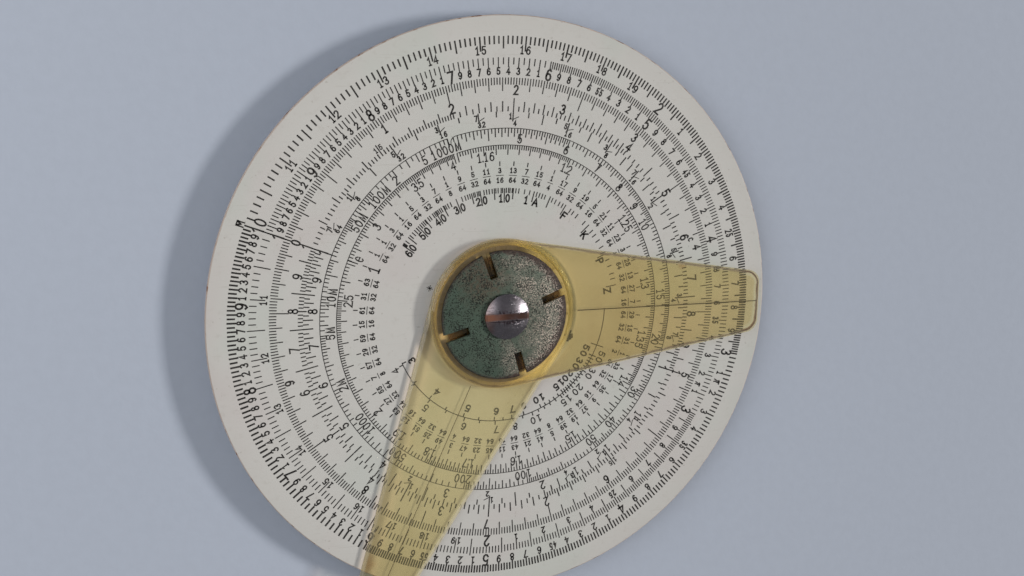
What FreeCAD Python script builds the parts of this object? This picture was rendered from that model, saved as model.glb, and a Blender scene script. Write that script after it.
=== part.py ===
import FreeCAD, Part
import math
import os
import Sketcher

# A hand-held circular slide rule: a printed metal disc with two celluloid
# cursors in front and one behind, all turning on one screwed barrel.
# The origin is on the pivot axis, in the flat rear face of the barrel's
# flange, which the rule lies on. Z points out of the printed front, and X
# runs along the short cursor. Lengths are millimetres, angles are degrees.

sizes = {
    "disc_radius": 51.6,
    "disc_thickness": 0.8,
    "disc_edge_round": 0.15,
    "barrel_radius": 3.2,
    "flange_radius": 5.2,
    "flange_thickness": 1.0,
    "flange_edge_round": 0.3,
    "notch_width": 1.3,
    "notch_depth": 0.9,
    "thread_radius": 1.5,
    "thread_clearance": 0.02,
    "thread_tip_gap": 0.4,
    "barrel_floor": 0.9,
    "seat_clearance": 0.02,
    "running_clearance": 0.05,
    "washer_clearance": 0.1,
    "friction_washer_radius": 12.2,
    "friction_washer_thickness": 0.45,
    "clutch_washer_thickness": 0.25,
    "rear_washer_thickness": 0.35,
    "cursor_hub_radius": 13.3,
    "cursor_thickness": 0.55,
    "bevel_width": 0.6,
    "bevel_depth": 0.25,
    "short_reach": 49.9,
    "short_tip_half_width": 5.5,
    "long_reach": 60.4,
    "long_tip_half_width": 3.6,
    "rear_reach": 49.0,
    "rear_tip_half_width": 5.6,
    "tip_corner_radius": 2.4,
    "hairline_width": 0.12,
    "hairline_depth": 0.06,
    "hairline_start": 16.5,
    "hairline_tip_margin": 1.0,
    "spring_radius": 11.5,
    "spring_thickness": 0.5,
    "spring_rise": 0.65,
    "spring_seat_radius": 4.4,
    "spring_lip": 0.7,
    "spring_rim_height": 0.45,
    "spring_rim_round": 0.3,
    "spring_slot_width": 1.45,
    "spring_slot_start": 7.05,
    "head_radius": 4.0,
    "head_edge_height": 0.45,
    "head_dome_height": 1.05,
    "driver_slot_width": 1.5,
    "driver_slot_depth": 0.85,
    "cut_overrun": 0.5,
}
angles = {
    "long_cursor_angle": 246.4,
    "rear_cursor_angle": 158.9,
    "spring_slot_angle": 18.9,
    "driver_slot_angle": 181.2,
}
spring_slot_count = 4
notch_count = 2
full_turn = 360.0
half_turn = 180.0

# The stack, from the rest face upwards. Each level is the one before it with
# one more thickness.
stack = [
    ("rear_spring", ["flange_thickness"]),
    ("rear_rim", ["spring_thickness", "spring_rise"]),
    ("rear_washer", ["cursor_thickness"]),
    ("disc", ["rear_washer_thickness"]),
    ("front_washer", ["disc_thickness"]),
    ("long_cursor", ["friction_washer_thickness"]),
    ("clutch_washer", ["cursor_thickness"]),
    ("short_cursor", ["clutch_washer_thickness"]),
    ("front_rim", ["cursor_thickness"]),
    ("barrel_top", ["spring_rise"]),
    ("screw_seat", ["spring_thickness"]),
]

doc = FreeCAD.newDocument("CircularSlideRule")
sheet = doc.addObject("Spreadsheet::Sheet", "Sizes")
for row, (name, value) in enumerate({**sizes, **angles}.items(), 1):
    sheet.set(f"A{row}", name)
    sheet.set(f"B{row}", str(value))
    sheet.setAlias(f"B{row}", name)
doc.recompute()


def cell(name):
    """The expression that reads one size."""
    return f"Sizes.{name}"


def total(*names):
    """The expression that adds named sizes. A name after a minus sign is taken off."""
    terms = []
    for name in names:
        if name.startswith("-"):
            terms.append("- " + cell(name[1:]))
        else:
            terms.append("+ " + cell(name))
    return " ".join(terms).removeprefix("+ ")


def number(expression):
    """What an expression of sizes comes to now, as a plain number."""
    return float(sheet.evalExpression(expression))


levels = {}
names_below = []
for level_name, thicknesses in stack:
    names_below = names_below + thicknesses
    levels[level_name] = total(*names_below)


def new_body(label):
    body = doc.addObject("PartDesign::Body", label)
    body.Label = label
    return body


def new_sketch(body, name, role):
    """A sketch on one of the body's own origin planes."""
    planes = [plane for plane in body.Origin.OriginFeatures if plane.Role == role]
    sketch = body.newObject("Sketcher::SketchObject", name)
    sketch.AttachmentSupport = [(planes[0], "")]
    sketch.MapMode = "FlatFace"
    return sketch


def bind(sketch, constraint, name, expression):
    """Adds a named dimension to the sketch and ties it to the sheet."""
    index = sketch.addConstraint(constraint)
    sketch.renameConstraint(index, name)
    sketch.setExpression(f"Constraints.{name}", expression)


def add_circle(sketch, name, radius):
    """A circle about the sketch's origin."""
    size = number(radius)
    circle = sketch.addGeometry(Part.Circle(FreeCAD.Vector(), FreeCAD.Vector(0, 0, 1), size))
    sketch.addConstraint(Sketcher.Constraint("Coincident", circle, 3, -1, 1))
    bind(sketch, Sketcher.Constraint("Radius", circle, size), name, radius)


def fix_corner(sketch, line, end, name, across, up):
    """Holds one end of a line or arc at its place from the sketch's origin."""
    if across == "0":
        sketch.addConstraint(Sketcher.Constraint("PointOnObject", line, end, -2))
    else:
        distance = Sketcher.Constraint("DistanceX", -1, 1, line, end, number(across))
        bind(sketch, distance, name + "_across", across)
    if up == "0":
        sketch.addConstraint(Sketcher.Constraint("PointOnObject", line, end, -1))
    else:
        distance = Sketcher.Constraint("DistanceY", -1, 1, line, end, number(up))
        bind(sketch, distance, name + "_up", up)


def add_outline(sketch, corners):
    """A closed outline through named corners (name, across, up, bend). Its side
    after a corner with a bend of "level" is an arc that leaves that corner level,
    one with "into_level" is an arc that reaches the next corner level, and the
    others are straight."""
    spots = [FreeCAD.Vector(number(corner[1]), number(corner[2]), 0) for corner in corners]
    sides = []
    for i, corner in enumerate(corners):
        here, there = spots[i], spots[(i + 1) % len(spots)]
        if corner[3] == "straight":
            sides.append((sketch.addGeometry(Part.LineSegment(here, there)), 1, 2))
            continue
        level, far = (here, there) if corner[3] == "level" else (there, here)
        run, drop = far.x - level.x, level.y - far.y
        radius = (run * run + drop * drop) / (2 * drop)
        centre = FreeCAD.Vector(level.x, level.y - radius, 0)
        at_level = math.atan2(level.y - centre.y, level.x - centre.x)
        at_far = math.atan2(far.y - centre.y, far.x - centre.x)
        first, last = min(at_level, at_far), max(at_level, at_far)
        circle = Part.Circle(centre, FreeCAD.Vector(0, 0, 1), abs(radius))
        arc = sketch.addGeometry(Part.ArcOfCircle(circle, first, last))
        start = FreeCAD.Vector(math.cos(first), math.sin(first), 0) * abs(radius) + centre
        ends = (1, 2) if start.distanceToPoint(here) < start.distanceToPoint(there) else (2, 1)
        sides.append((arc, *ends))
        level_end = ends[0] if corner[3] == "level" else ends[1]
        level_constraint = Sketcher.Constraint("Vertical", arc, 3, arc, level_end)
        sketch.addConstraint(level_constraint)
    for i, corner in enumerate(corners):
        side, start, end = sides[i]
        after, after_start, _ = sides[(i + 1) % len(sides)]
        sketch.addConstraint(Sketcher.Constraint("Coincident", side, end, after, after_start))
        fix_corner(sketch, side, start, corner[0], corner[1], corner[2])


def add_pad(body, name, sketch, length):
    pad = body.newObject("PartDesign::Pad", name)
    pad.Profile = sketch
    pad.setExpression("Length", length)
    sketch.Visibility = False
    doc.recompute()
    return pad


def add_turning(body, name, sketch):
    """The profile turned about the piece's own Z axis."""
    turning = body.newObject("PartDesign::Revolution", name)
    turning.Profile = sketch
    turning.ReferenceAxis = (sketch, ["V_Axis"])
    turning.Angle = full_turn
    doc.recompute()
    return turning


def add_cut(body, name, sketch, depth, upwards):
    """A pocket from the sketch, upwards into the piece or down into it."""
    before = body.Shape.Volume
    cut = body.newObject("PartDesign::Pocket", name)
    cut.Profile = sketch
    cut.setExpression("Length", depth)
    cut.Reversed = upwards
    doc.recompute()
    if not body.Shape.Volume < before:
        raise ValueError(f"{body.Label}: {name} cuts nothing")
    return cut


def add_ring_copies(body, name, feature, count):
    """Equal copies of a cut, spaced round the piece's Z axis."""
    pattern = body.newObject("PartDesign::PolarPattern", name)
    pattern.Originals = [feature]
    axes = [axis for axis in body.Origin.OriginFeatures if axis.Role == "Z_Axis"]
    pattern.Axis = (axes[0], [""])
    pattern.Angle = full_turn
    pattern.Occurrences = count
    body.Tip = pattern
    doc.recompute()
    return pattern


def edges_where(feature, wanted):
    """The names of a feature's edges that a test picks."""
    edges = enumerate(feature.Shape.Edges, 1)
    return [f"Edge{i}" for i, edge in edges if wanted(edge)]


def spot_on(edge, share):
    """A point part of the way along an edge."""
    middle = edge.FirstParameter + (edge.LastParameter - edge.FirstParameter) * share
    return edge.valueAt(middle)


def is_level(edge):
    """True where a whole edge lies at one height."""
    shares = (0.0, 0.3, 0.7, 1.0)
    heights = [spot_on(edge, share).z for share in shares]
    return max(heights) - min(heights) < tolerance()


def tolerance():
    """How near two places count as one: a small share of the thinnest film here."""
    near_share = 0.01
    return sizes["hairline_depth"] * near_share


def middle_of(edge):
    """The point halfway along an edge."""
    middle_share = 0.5
    return spot_on(edge, middle_share)


def reach_of(edge):
    """How far from the axis the middle of an edge lies."""
    spot = middle_of(edge)
    return math.hypot(spot.x, spot.y)


def add_round(body, name, feature, edges, radius):
    fillet = body.newObject("PartDesign::Fillet", name)
    fillet.Base = (feature, edges)
    fillet.setExpression("Radius", radius)
    doc.recompute()
    return fillet


def place(body, level, angle=0.0, face_down=False):
    """Stands a piece at a level of the stack, turned about the axis. Face down
    turns it over about its own X axis first, for the pieces of the back."""
    turn = FreeCAD.Rotation(FreeCAD.Vector(0, 0, 1), angle)
    if face_down:
        turn = turn * FreeCAD.Rotation(FreeCAD.Vector(1, 0, 0), half_turn)
    body.Placement = FreeCAD.Placement(FreeCAD.Vector(), turn)
    if level is not None:
        body.setExpression("Placement.Base.z", level)


def make_disc():
    """The printed disc: sheet metal with a centre hole and softened edges."""
    body = new_body("scale_disc")
    sketch = new_sketch(body, "disc_sketch", "XY_Plane")
    add_circle(sketch, "rim", cell("disc_radius"))
    add_circle(sketch, "hole", total("barrel_radius", "seat_clearance"))
    blank = add_pad(body, "disc_blank", sketch, cell("disc_thickness"))
    middle_reach = sizes["disc_radius"] - sizes["disc_edge_round"]
    rims = edges_where(blank, lambda edge: is_level(edge) and reach_of(edge) > middle_reach)
    add_round(body, "disc_edges", blank, rims, cell("disc_edge_round"))
    place(body, levels["disc"])
    return body


def make_washer(label, thickness, level):
    """A flat fibre washer, loose on the barrel."""
    body = new_body(label)
    sketch = new_sketch(body, label + "_sketch", "XY_Plane")
    add_circle(sketch, "outside", cell("friction_washer_radius"))
    add_circle(sketch, "hole", total("barrel_radius", "washer_clearance"))
    add_pad(body, label + "_blank", sketch, cell(thickness))
    place(body, levels[level])
    return body


def make_cursor(label, reach, tip_half_width, level, angle=0.0, face_down=False):
    """A flat arm of clear sheet: a round hub whose tangents taper to a square tip
    with rounded corners. Its outer edges are bevelled on the side away from the
    disc, and the hairline is scribed in the side next to it."""
    body = new_body(label)
    sketch = new_sketch(body, label + "_outline", "XY_Plane")
    hub, far, half = sizes["cursor_hub_radius"], sizes[reach], sizes[tip_half_width]
    taper = math.asin(hub / math.hypot(far, half)) - math.atan2(half, far)
    touch = math.pi / 2 - taper
    top_touch = FreeCAD.Vector(math.cos(touch), math.sin(touch), 0) * hub
    bottom_touch = FreeCAD.Vector(top_touch.x, -top_touch.y, 0)
    top_tip, bottom_tip = FreeCAD.Vector(far, half, 0), FreeCAD.Vector(far, -half, 0)
    hub_circle = Part.Circle(FreeCAD.Vector(), FreeCAD.Vector(0, 0, 1), hub)
    arc = sketch.addGeometry(Part.ArcOfCircle(hub_circle, touch, 2 * math.pi - touch))
    top_side = sketch.addGeometry(Part.LineSegment(top_touch, top_tip))
    tip_side = sketch.addGeometry(Part.LineSegment(top_tip, bottom_tip))
    bottom_side = sketch.addGeometry(Part.LineSegment(bottom_tip, bottom_touch))
    sketch.addConstraint(Sketcher.Constraint("Coincident", arc, 3, -1, 1))
    sketch.addConstraint(Sketcher.Constraint("Tangent", arc, 1, top_side, 1))
    sketch.addConstraint(Sketcher.Constraint("Coincident", top_side, 2, tip_side, 1))
    sketch.addConstraint(Sketcher.Constraint("Coincident", tip_side, 2, bottom_side, 1))
    sketch.addConstraint(Sketcher.Constraint("Tangent", bottom_side, 2, arc, 2))
    bind(sketch, Sketcher.Constraint("Radius", arc, hub), "hub", cell("cursor_hub_radius"))
    fix_corner(sketch, tip_side, 1, "tip", cell(reach), cell(tip_half_width))
    sketch.addConstraint(Sketcher.Constraint("Symmetric", tip_side, 1, tip_side, 2, -1))
    add_circle(sketch, "bore", total("barrel_radius", "running_clearance"))
    plate = add_pad(body, label + "_plate", sketch, cell("cursor_thickness"))

    corners = edges_where(
        plate, lambda edge: not is_level(edge) and abs(middle_of(edge).x - far) < tolerance()
    )
    rounded = add_round(body, label + "_corners", plate, corners, cell("tip_corner_radius"))
    top, bore = sizes["cursor_thickness"], sizes["barrel_radius"] + sizes["running_clearance"]
    rim = edges_where(
        rounded,
        lambda edge: is_level(edge)
        and abs(edge.Vertexes[0].Z - top) < tolerance()
        and reach_of(edge) > bore + tolerance(),
    )
    bevel = body.newObject("PartDesign::Chamfer", label + "_bevel")
    bevel.Base = (rounded, rim)
    bevel.ChamferType = "Two distances"
    bevel.setExpression("Size", cell("bevel_depth"))
    bevel.setExpression("Size2", cell("bevel_width"))
    doc.recompute()

    groove = new_sketch(body, label + "_hairline", "XY_Plane")
    half_line = cell("hairline_width") + " / 2"
    line_end = total(reach, "-hairline_tip_margin")
    add_outline(groove, [
        ("near_right", cell("hairline_start"), "-" + half_line, "straight"),
        ("far_right", line_end, "-" + half_line, "straight"),
        ("far_left", line_end, half_line, "straight"),
        ("near_left", cell("hairline_start"), half_line, "straight"),
    ])
    add_cut(body, label + "_line", groove, cell("hairline_depth"), True)
    place(body, levels[level], angle, face_down)
    return body


def make_spring(label, hole, level, angle, face_down=False):
    """A dished spring washer: a flat seat round the hole, a domed skirt and a lip
    that bears on the cursor, with radial slots that leave four springy tongues."""
    body = new_body(label)
    profile = new_sketch(body, label + "_profile", "XZ_Plane")
    crown = total("spring_rise", "spring_thickness")
    lip = total("spring_radius", "-spring_lip")
    add_outline(profile, [
        ("hole_under", hole, cell("spring_rise"), "straight"),
        ("seat_under", cell("spring_seat_radius"), cell("spring_rise"), "level"),
        ("lip", lip, "0", "straight"),
        ("rim_under", cell("spring_radius"), "0", "straight"),
        ("rim_top", cell("spring_radius"), cell("spring_rim_height"), "into_level"),
        ("seat_top", cell("spring_seat_radius"), crown, "straight"),
        ("hole_top", hole, crown, "straight"),
    ])
    dish = add_turning(body, label + "_dish", profile)
    rim = edges_where(
        dish,
        lambda edge: is_level(edge)
        and abs(edge.Vertexes[0].Z - sizes["spring_rim_height"]) < tolerance(),
    )
    add_round(body, label + "_rim", dish, rim, cell("spring_rim_round"))
    slot = new_sketch(body, label + "_slot", "XY_Plane")
    half_slot = cell("spring_slot_width") + " / 2"
    outside = total("spring_radius", "cut_overrun")
    add_outline(slot, [
        ("near_right", cell("spring_slot_start"), "-" + half_slot, "straight"),
        ("far_right", outside, "-" + half_slot, "straight"),
        ("far_left", outside, half_slot, "straight"),
        ("near_left", cell("spring_slot_start"), half_slot, "straight"),
    ])
    cut = add_cut(body, label + "_slot_cut", slot, total("spring_rise", "spring_thickness"), True)
    add_ring_copies(body, label + "_slots", cut, spring_slot_count)
    place(body, level, angle, face_down)
    return body


def make_screw():
    """The pivot screw: a low domed head, slotted right across, on a short shank
    whose thread is left as a plain cylinder."""
    body = new_body("pivot_screw")
    profile = new_sketch(body, "screw_profile", "XZ_Plane")
    head_top = total("head_edge_height", "head_dome_height")
    depth = number(levels["screw_seat"]) - number(total("barrel_floor", "thread_tip_gap"))
    tip = f"-({levels['screw_seat']} - {cell('barrel_floor')} - {cell('thread_tip_gap')})"
    if not depth > 0:
        raise ValueError("pivot_screw: the stack is too thin for its shank")
    add_outline(profile, [
        ("tip_axis", "0", tip, "straight"),
        ("tip_edge", cell("thread_radius"), tip, "straight"),
        ("under_head", cell("thread_radius"), "0", "straight"),
        ("head_under", cell("head_radius"), "0", "straight"),
        ("head_edge", cell("head_radius"), cell("head_edge_height"), "into_level"),
        ("head_top", "0", head_top, "straight"),
    ])
    add_turning(body, "screw_blank", profile)
    slot = new_sketch(body, "driver_slot", "XY_Plane")
    slot.setExpression("AttachmentOffset.Base.z", head_top)
    half_slot = cell("driver_slot_width") + " / 2"
    beyond = total("head_radius", "cut_overrun")
    add_outline(slot, [
        ("near_right", "-(" + beyond + ")", "-" + half_slot, "straight"),
        ("far_right", beyond, "-" + half_slot, "straight"),
        ("far_left", beyond, half_slot, "straight"),
        ("near_left", "-(" + beyond + ")", half_slot, "straight"),
    ])
    add_cut(body, "driver_slot_cut", slot, cell("driver_slot_depth"), False)
    place(body, levels["screw_seat"], angles["driver_slot_angle"])
    return body


def make_barrel():
    """The barrel: a flat flange behind and a tube through disc and cursors, with a
    blind tapped hole for the screw and two spanner notches in the flange."""
    body = new_body("pivot_barrel")
    profile = new_sketch(body, "barrel_profile", "XZ_Plane")
    tapped = total("thread_radius", "thread_clearance")
    add_outline(profile, [
        ("rest_axis", "0", "0", "straight"),
        ("flange_under", cell("flange_radius"), "0", "straight"),
        ("flange_top", cell("flange_radius"), cell("flange_thickness"), "straight"),
        ("neck", cell("barrel_radius"), cell("flange_thickness"), "straight"),
        ("barrel_top", cell("barrel_radius"), levels["barrel_top"], "straight"),
        ("mouth", tapped, levels["barrel_top"], "straight"),
        ("floor_edge", tapped, cell("barrel_floor"), "straight"),
        ("floor_axis", "0", cell("barrel_floor"), "straight"),
    ])
    blank = add_turning(body, "barrel_blank", profile)
    lowest = edges_where(
        blank,
        lambda edge: is_level(edge)
        and abs(edge.Vertexes[0].Z) < tolerance()
        and reach_of(edge) > sizes["barrel_radius"],
    )
    add_round(body, "flange_edge", blank, lowest, cell("flange_edge_round"))
    notch = new_sketch(body, "notch", "XY_Plane")
    half_notch = cell("notch_width") + " / 2"
    inside = total("flange_radius", "-notch_depth")
    outside = total("flange_radius", "cut_overrun")
    add_outline(notch, [
        ("near_right", inside, "-" + half_notch, "straight"),
        ("far_right", outside, "-" + half_notch, "straight"),
        ("far_left", outside, half_notch, "straight"),
        ("near_left", inside, half_notch, "straight"),
    ])
    cut = add_cut(body, "notch_cut", notch, cell("flange_thickness"), True)
    add_ring_copies(body, "notches", cut, notch_count)
    place(body, None)
    return body


pieces = [
    make_barrel(),
    make_spring("rear_spring_washer", total("barrel_radius", "running_clearance"),
                levels["rear_rim"], angles["spring_slot_angle"], True),
    make_cursor("rear_cursor", "rear_reach", "rear_tip_half_width", "rear_washer",
                angles["rear_cursor_angle"], True),
    make_washer("rear_friction_washer", "rear_washer_thickness", "rear_washer"),
    make_disc(),
    make_washer("front_friction_washer", "friction_washer_thickness", "front_washer"),
    make_cursor("long_cursor", "long_reach", "long_tip_half_width", "long_cursor",
                angles["long_cursor_angle"]),
    make_washer("clutch_washer", "clutch_washer_thickness", "clutch_washer"),
    make_cursor("short_cursor", "short_reach", "short_tip_half_width", "short_cursor"),
    make_spring("front_spring_washer", total("thread_radius", "running_clearance"),
                levels["front_rim"], angles["spring_slot_angle"]),
    make_screw(),
]
doc.recompute()

for item in doc.Objects:
    faults = [word for word in item.State if word in ("Invalid", "Error")]
    if faults:
        raise ValueError(f"{item.Label} failed: {faults}")
for piece in pieces:
    if piece.Shape.isNull() or not piece.Shape.isValid() or len(piece.Shape.Solids) != 1:
        raise ValueError(f"{piece.Label} is not one valid solid")

os.makedirs("parts", exist_ok=True)
for piece in pieces:
    piece.Shape.exportStep(os.path.join("parts", piece.Label + ".step"))
    box = piece.Shape.BoundBox
    print(
        f"{piece.Label}: volume {piece.Shape.Volume:.2f} mm3, "
        f"z {box.ZMin:.2f} to {box.ZMax:.2f}, x {box.XMin:.2f} to {box.XMax:.2f}, "
        f"y {box.YMin:.2f} to {box.YMax:.2f}"
    )
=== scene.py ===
import math

import bpy
from mathutils import Matrix, Vector


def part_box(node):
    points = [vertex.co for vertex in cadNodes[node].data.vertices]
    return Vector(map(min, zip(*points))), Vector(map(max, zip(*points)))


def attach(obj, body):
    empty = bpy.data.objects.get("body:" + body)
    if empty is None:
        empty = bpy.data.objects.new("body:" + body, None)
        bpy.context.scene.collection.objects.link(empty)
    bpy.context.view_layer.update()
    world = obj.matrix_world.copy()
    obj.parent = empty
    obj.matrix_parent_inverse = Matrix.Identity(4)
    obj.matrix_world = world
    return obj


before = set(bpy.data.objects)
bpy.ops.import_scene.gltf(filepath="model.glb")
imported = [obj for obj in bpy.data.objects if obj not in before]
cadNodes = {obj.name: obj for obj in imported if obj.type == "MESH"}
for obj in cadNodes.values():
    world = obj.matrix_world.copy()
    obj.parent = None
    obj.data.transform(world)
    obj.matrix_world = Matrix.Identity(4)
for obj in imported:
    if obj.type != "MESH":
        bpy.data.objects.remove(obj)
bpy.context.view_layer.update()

mm = 0.001
discLow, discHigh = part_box("scale_disc")

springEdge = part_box("front_spring_washer")[1].x

# Places on the dial are angles clockwise from the index line, and shares of the disc's radius.
dial = dict(
    radius=discHigh.x,
    front=discHigh.z,
    back=discLow.z,
    indexAngle=159.27,  # from +X to the index line, in degrees
    inkProud=0.02 * mm,
    inkSunk=0.01 * mm,
    tickWobble=0.06,
    tickSeed=5,
)


# Small helpers for node trees.

def setInput(tree, node, key, value):
    if isinstance(value, bpy.types.NodeSocket):
        tree.links.new(value, node.inputs[key])
    else:
        node.inputs[key].default_value = value


def addNode(tree, kind, inputs=None, family="ShaderNode", **settings):
    node = tree.nodes.new(family + kind)
    for name, value in settings.items():
        setattr(node, name, value)
    for key, value in (inputs or {}).items():
        setInput(tree, node, key, value)
    return node


def compute(tree, operation, first, second=0.0):
    return addNode(tree, "Math", {0: first, 1: second}, operation=operation).outputs[0]


def plus(tree, first, second):
    return compute(tree, "ADD", first, second)


def minus(tree, first, second):
    return compute(tree, "SUBTRACT", first, second)


def times(tree, first, second):
    return compute(tree, "MULTIPLY", first, second)


def partsOf(tree, place):
    return addNode(tree, "SeparateXYZ", {0: place}).outputs


# How far a place lies from the pivot's axis.
def axisDistance(tree, place):
    flat = addNode(tree, "VectorMath", {0: place, 1: (1, 1, 0)}, operation="MULTIPLY").outputs[0]
    return addNode(tree, "VectorMath", {0: flat}, operation="LENGTH").outputs["Value"]


def alongSide(tree, place, side):
    return addNode(tree, "VectorMath", {0: place, 1: side}, operation="DOT_PRODUCT").outputs["Value"]


# The same place in axes that are turned about the pivot by some degrees.
def turnedPlace(tree, place, degrees):
    rotation = (0, 0, -math.radians(degrees))
    return addNode(tree, "Mapping", {"Vector": place, "Rotation": rotation}).outputs[0]


def fade(tree, value, low, high, toLow=0.0, toHigh=1.0):
    inputs = {"Value": value, "From Min": low, "From Max": high, "To Min": toLow, "To Max": toHigh}
    return addNode(tree, "MapRange", inputs, interpolation_type="SMOOTHSTEP").outputs[0]


# A soft-edged band: one from low to high, nothing beyond.
def between(tree, value, low, high, soft):
    rise = fade(tree, value, low - soft, low + soft)
    return times(tree, rise, fade(tree, value, high - soft, high + soft, 1, 0))


def blendColour(tree, share, first, second, mode="MIX"):
    node = addNode(tree, "Mix", {0: share, 6: first, 7: second}, data_type="RGBA", blend_type=mode)
    return node.outputs[2]


def grain(tree, place, scale, detail=3.0, roughness=0.5, stretch=None):
    if stretch:
        place = addNode(tree, "Mapping", {"Vector": place, "Scale": stretch}).outputs[0]
    inputs = {"Vector": place, "Scale": scale, "Detail": detail, "Roughness": roughness}
    return addNode(tree, "TexNoise", inputs).outputs[0]


def beginGroup(name, inputs, outputs):
    group = bpy.data.node_groups.new(name, "ShaderNodeTree")
    for label, kind, value in inputs:
        socket = group.interface.new_socket(label, in_out="INPUT", socket_type="NodeSocket" + kind)
        if value is not None:
            socket.default_value = value
    for label in outputs:
        group.interface.new_socket(label, in_out="OUTPUT", socket_type="NodeSocketFloat")
    return group, group.nodes.new("NodeGroupInput").outputs, group.nodes.new("NodeGroupOutput")


def useGroup(tree, group, inputs):
    node = tree.nodes.new("ShaderNodeGroup")
    node.node_tree = group
    for key, value in inputs.items():
        setInput(tree, node, key, value)
    return node


# Shader groups for effects that several finishes share.

# How far a point lies from the pivot, and a soft band between two radii.
def makeRingGroup():
    tree, given, out = beginGroup(
        "ringBand",
        [
            ("Place", "Vector", None), ("Inner", "Float", 0.0), ("Outer", "Float", 1.0),
            ("Soft", "Float", 0.001),
        ],
        ["Band", "Radius"],
    )
    radius = axisDistance(tree, given["Place"])
    rise = fade(tree, radius, minus(tree, given["Inner"], given["Soft"]), given["Inner"])
    fall = fade(tree, radius, given["Outer"], plus(tree, given["Outer"], given["Soft"]), 1, 0)
    setInput(tree, out, "Band", times(tree, rise, fall))
    setInput(tree, out, "Radius", radius)
    return tree


# Small scattered pits or specks: a share of the surface is covered, in clusters.
def makeSpeckGroup():
    tree, given, out = beginGroup(
        "specks",
        [
            ("Place", "Vector", None), ("Scale", "Float", 2000.0), ("Cover", "Float", 0.3),
            ("Soft", "Float", 0.05),
        ],
        ["Mask"],
    )
    fine = grain(tree, given["Place"], given["Scale"], 2.0)
    wide = grain(tree, given["Place"], times(tree, given["Scale"], 0.12), 1.0)
    field = plus(tree, times(tree, fine, 0.75), times(tree, wide, 0.25))
    edge = minus(tree, 0.72, times(tree, given["Cover"], 0.5))
    setInput(tree, out, "Mask", fade(tree, field, edge, plus(tree, edge, given["Soft"])))
    return tree


# Fine scratches in two crossing directions.
def makeScratchGroup():
    tree, given, out = beginGroup(
        "scratches",
        [("Place", "Vector", None), ("Scale", "Float", 300.0), ("Amount", "Float", 0.3)],
        ["Mask"],
    )
    lines = None
    for turn, stretch in ((0.5, (1.0, 18.0, 1.0)), (2.2, (1.0, 26.0, 1.0))):
        mapping = {"Vector": given["Place"], "Rotation": (0, 0, turn), "Scale": stretch}
        mapped = addNode(tree, "Mapping", mapping).outputs[0]
        noise = grain(tree, mapped, given["Scale"], 1.0)
        edge = minus(tree, 0.8, times(tree, given["Amount"], 0.2))
        line = fade(tree, noise, edge, plus(tree, edge, 0.05))
        lines = line if lines is None else compute(tree, "MAXIMUM", lines, line)
    setInput(tree, out, "Mask", lines)
    return tree


# A soft round stain with an uneven edge.
def makeStainGroup():
    tree, given, out = beginGroup(
        "stain",
        [("Place", "Vector", None), ("Centre", "Vector", None), ("Size", "Float", 0.002)],
        ["Mask"],
    )
    ragged = grain(tree, given["Place"], 700.0, 2.0)
    ends = {0: given["Place"], 1: given["Centre"]}
    offset = addNode(tree, "VectorMath", ends, operation="SUBTRACT").outputs[0]
    away = axisDistance(tree, offset)
    reach = times(tree, given["Size"], plus(tree, ragged, 0.5))
    setInput(tree, out, "Mask", fade(tree, compute(tree, "DIVIDE", away, reach), 0.25, 1.0, 1, 0))
    return tree


# How far inside a cursor's outline a point lies. The cursor's own axis runs along X: a round hub, two
# straight sides that leave it as tangents, and a square tip with round corners.
def makeArmEdgeGroup():
    tree, given, out = beginGroup(
        "armEdge",
        [
            ("Place", "Vector", None), ("Hub", "Float", 0.01), ("Reach", "Float", 0.05),
            ("Corner", "Float", 0.002), ("Lean Cosine", "Float", 0.0), ("Lean Sine", "Float", 1.0),
        ],
        ["Distance"],
    )
    parts = partsOf(tree, given["Place"])
    x, y = parts["X"], compute(tree, "ABSOLUTE", parts["Y"])
    cosine, sine = given["Lean Cosine"], given["Lean Sine"]
    outward = plus(tree, times(tree, x, cosine), times(tree, y, sine))
    side = minus(tree, given["Hub"], outward)
    tip = minus(tree, given["Reach"], x)
    short = [compute(tree, "MAXIMUM", minus(tree, given["Corner"], d), 0.0) for d in (side, tip)]
    rounded = compute(tree, "SQRT", plus(tree, *(compute(tree, "POWER", d, 2.0) for d in short)))
    arm = minus(tree, given["Corner"], rounded)
    radius = axisDistance(tree, given["Place"])
    hub = minus(tree, given["Hub"], radius)
    onArm = compute(tree, "GREATER_THAN", times(tree, x, sine), times(tree, y, cosine))
    inside = addNode(tree, "Mix", {0: onArm, 2: hub, 3: arm}, data_type="FLOAT").outputs[0]
    setInput(tree, out, "Distance", inside)
    return tree


ringGroup = makeRingGroup()
armEdgeGroup = makeArmEdgeGroup()
speckGroup = makeSpeckGroup()
scratchGroup = makeScratchGroup()
stainGroup = makeStainGroup()


def newMaterial(name):
    material = bpy.data.materials.new(name)
    material.use_nodes = True
    tree = material.node_tree
    tree.nodes.clear()
    surface = addNode(tree, "BsdfPrincipled")
    output = addNode(tree, "OutputMaterial", {"Surface": surface.outputs[0]})
    place = addNode(tree, "TexCoord").outputs["Object"]
    return material, tree, surface, output, place


def addBump(tree, surface, height, distance, strength=1.0):
    bump = addNode(tree, "Bump", {"Height": height, "Distance": distance, "Strength": strength})
    setInput(tree, surface, "Normal", bump.outputs[0])


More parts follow.
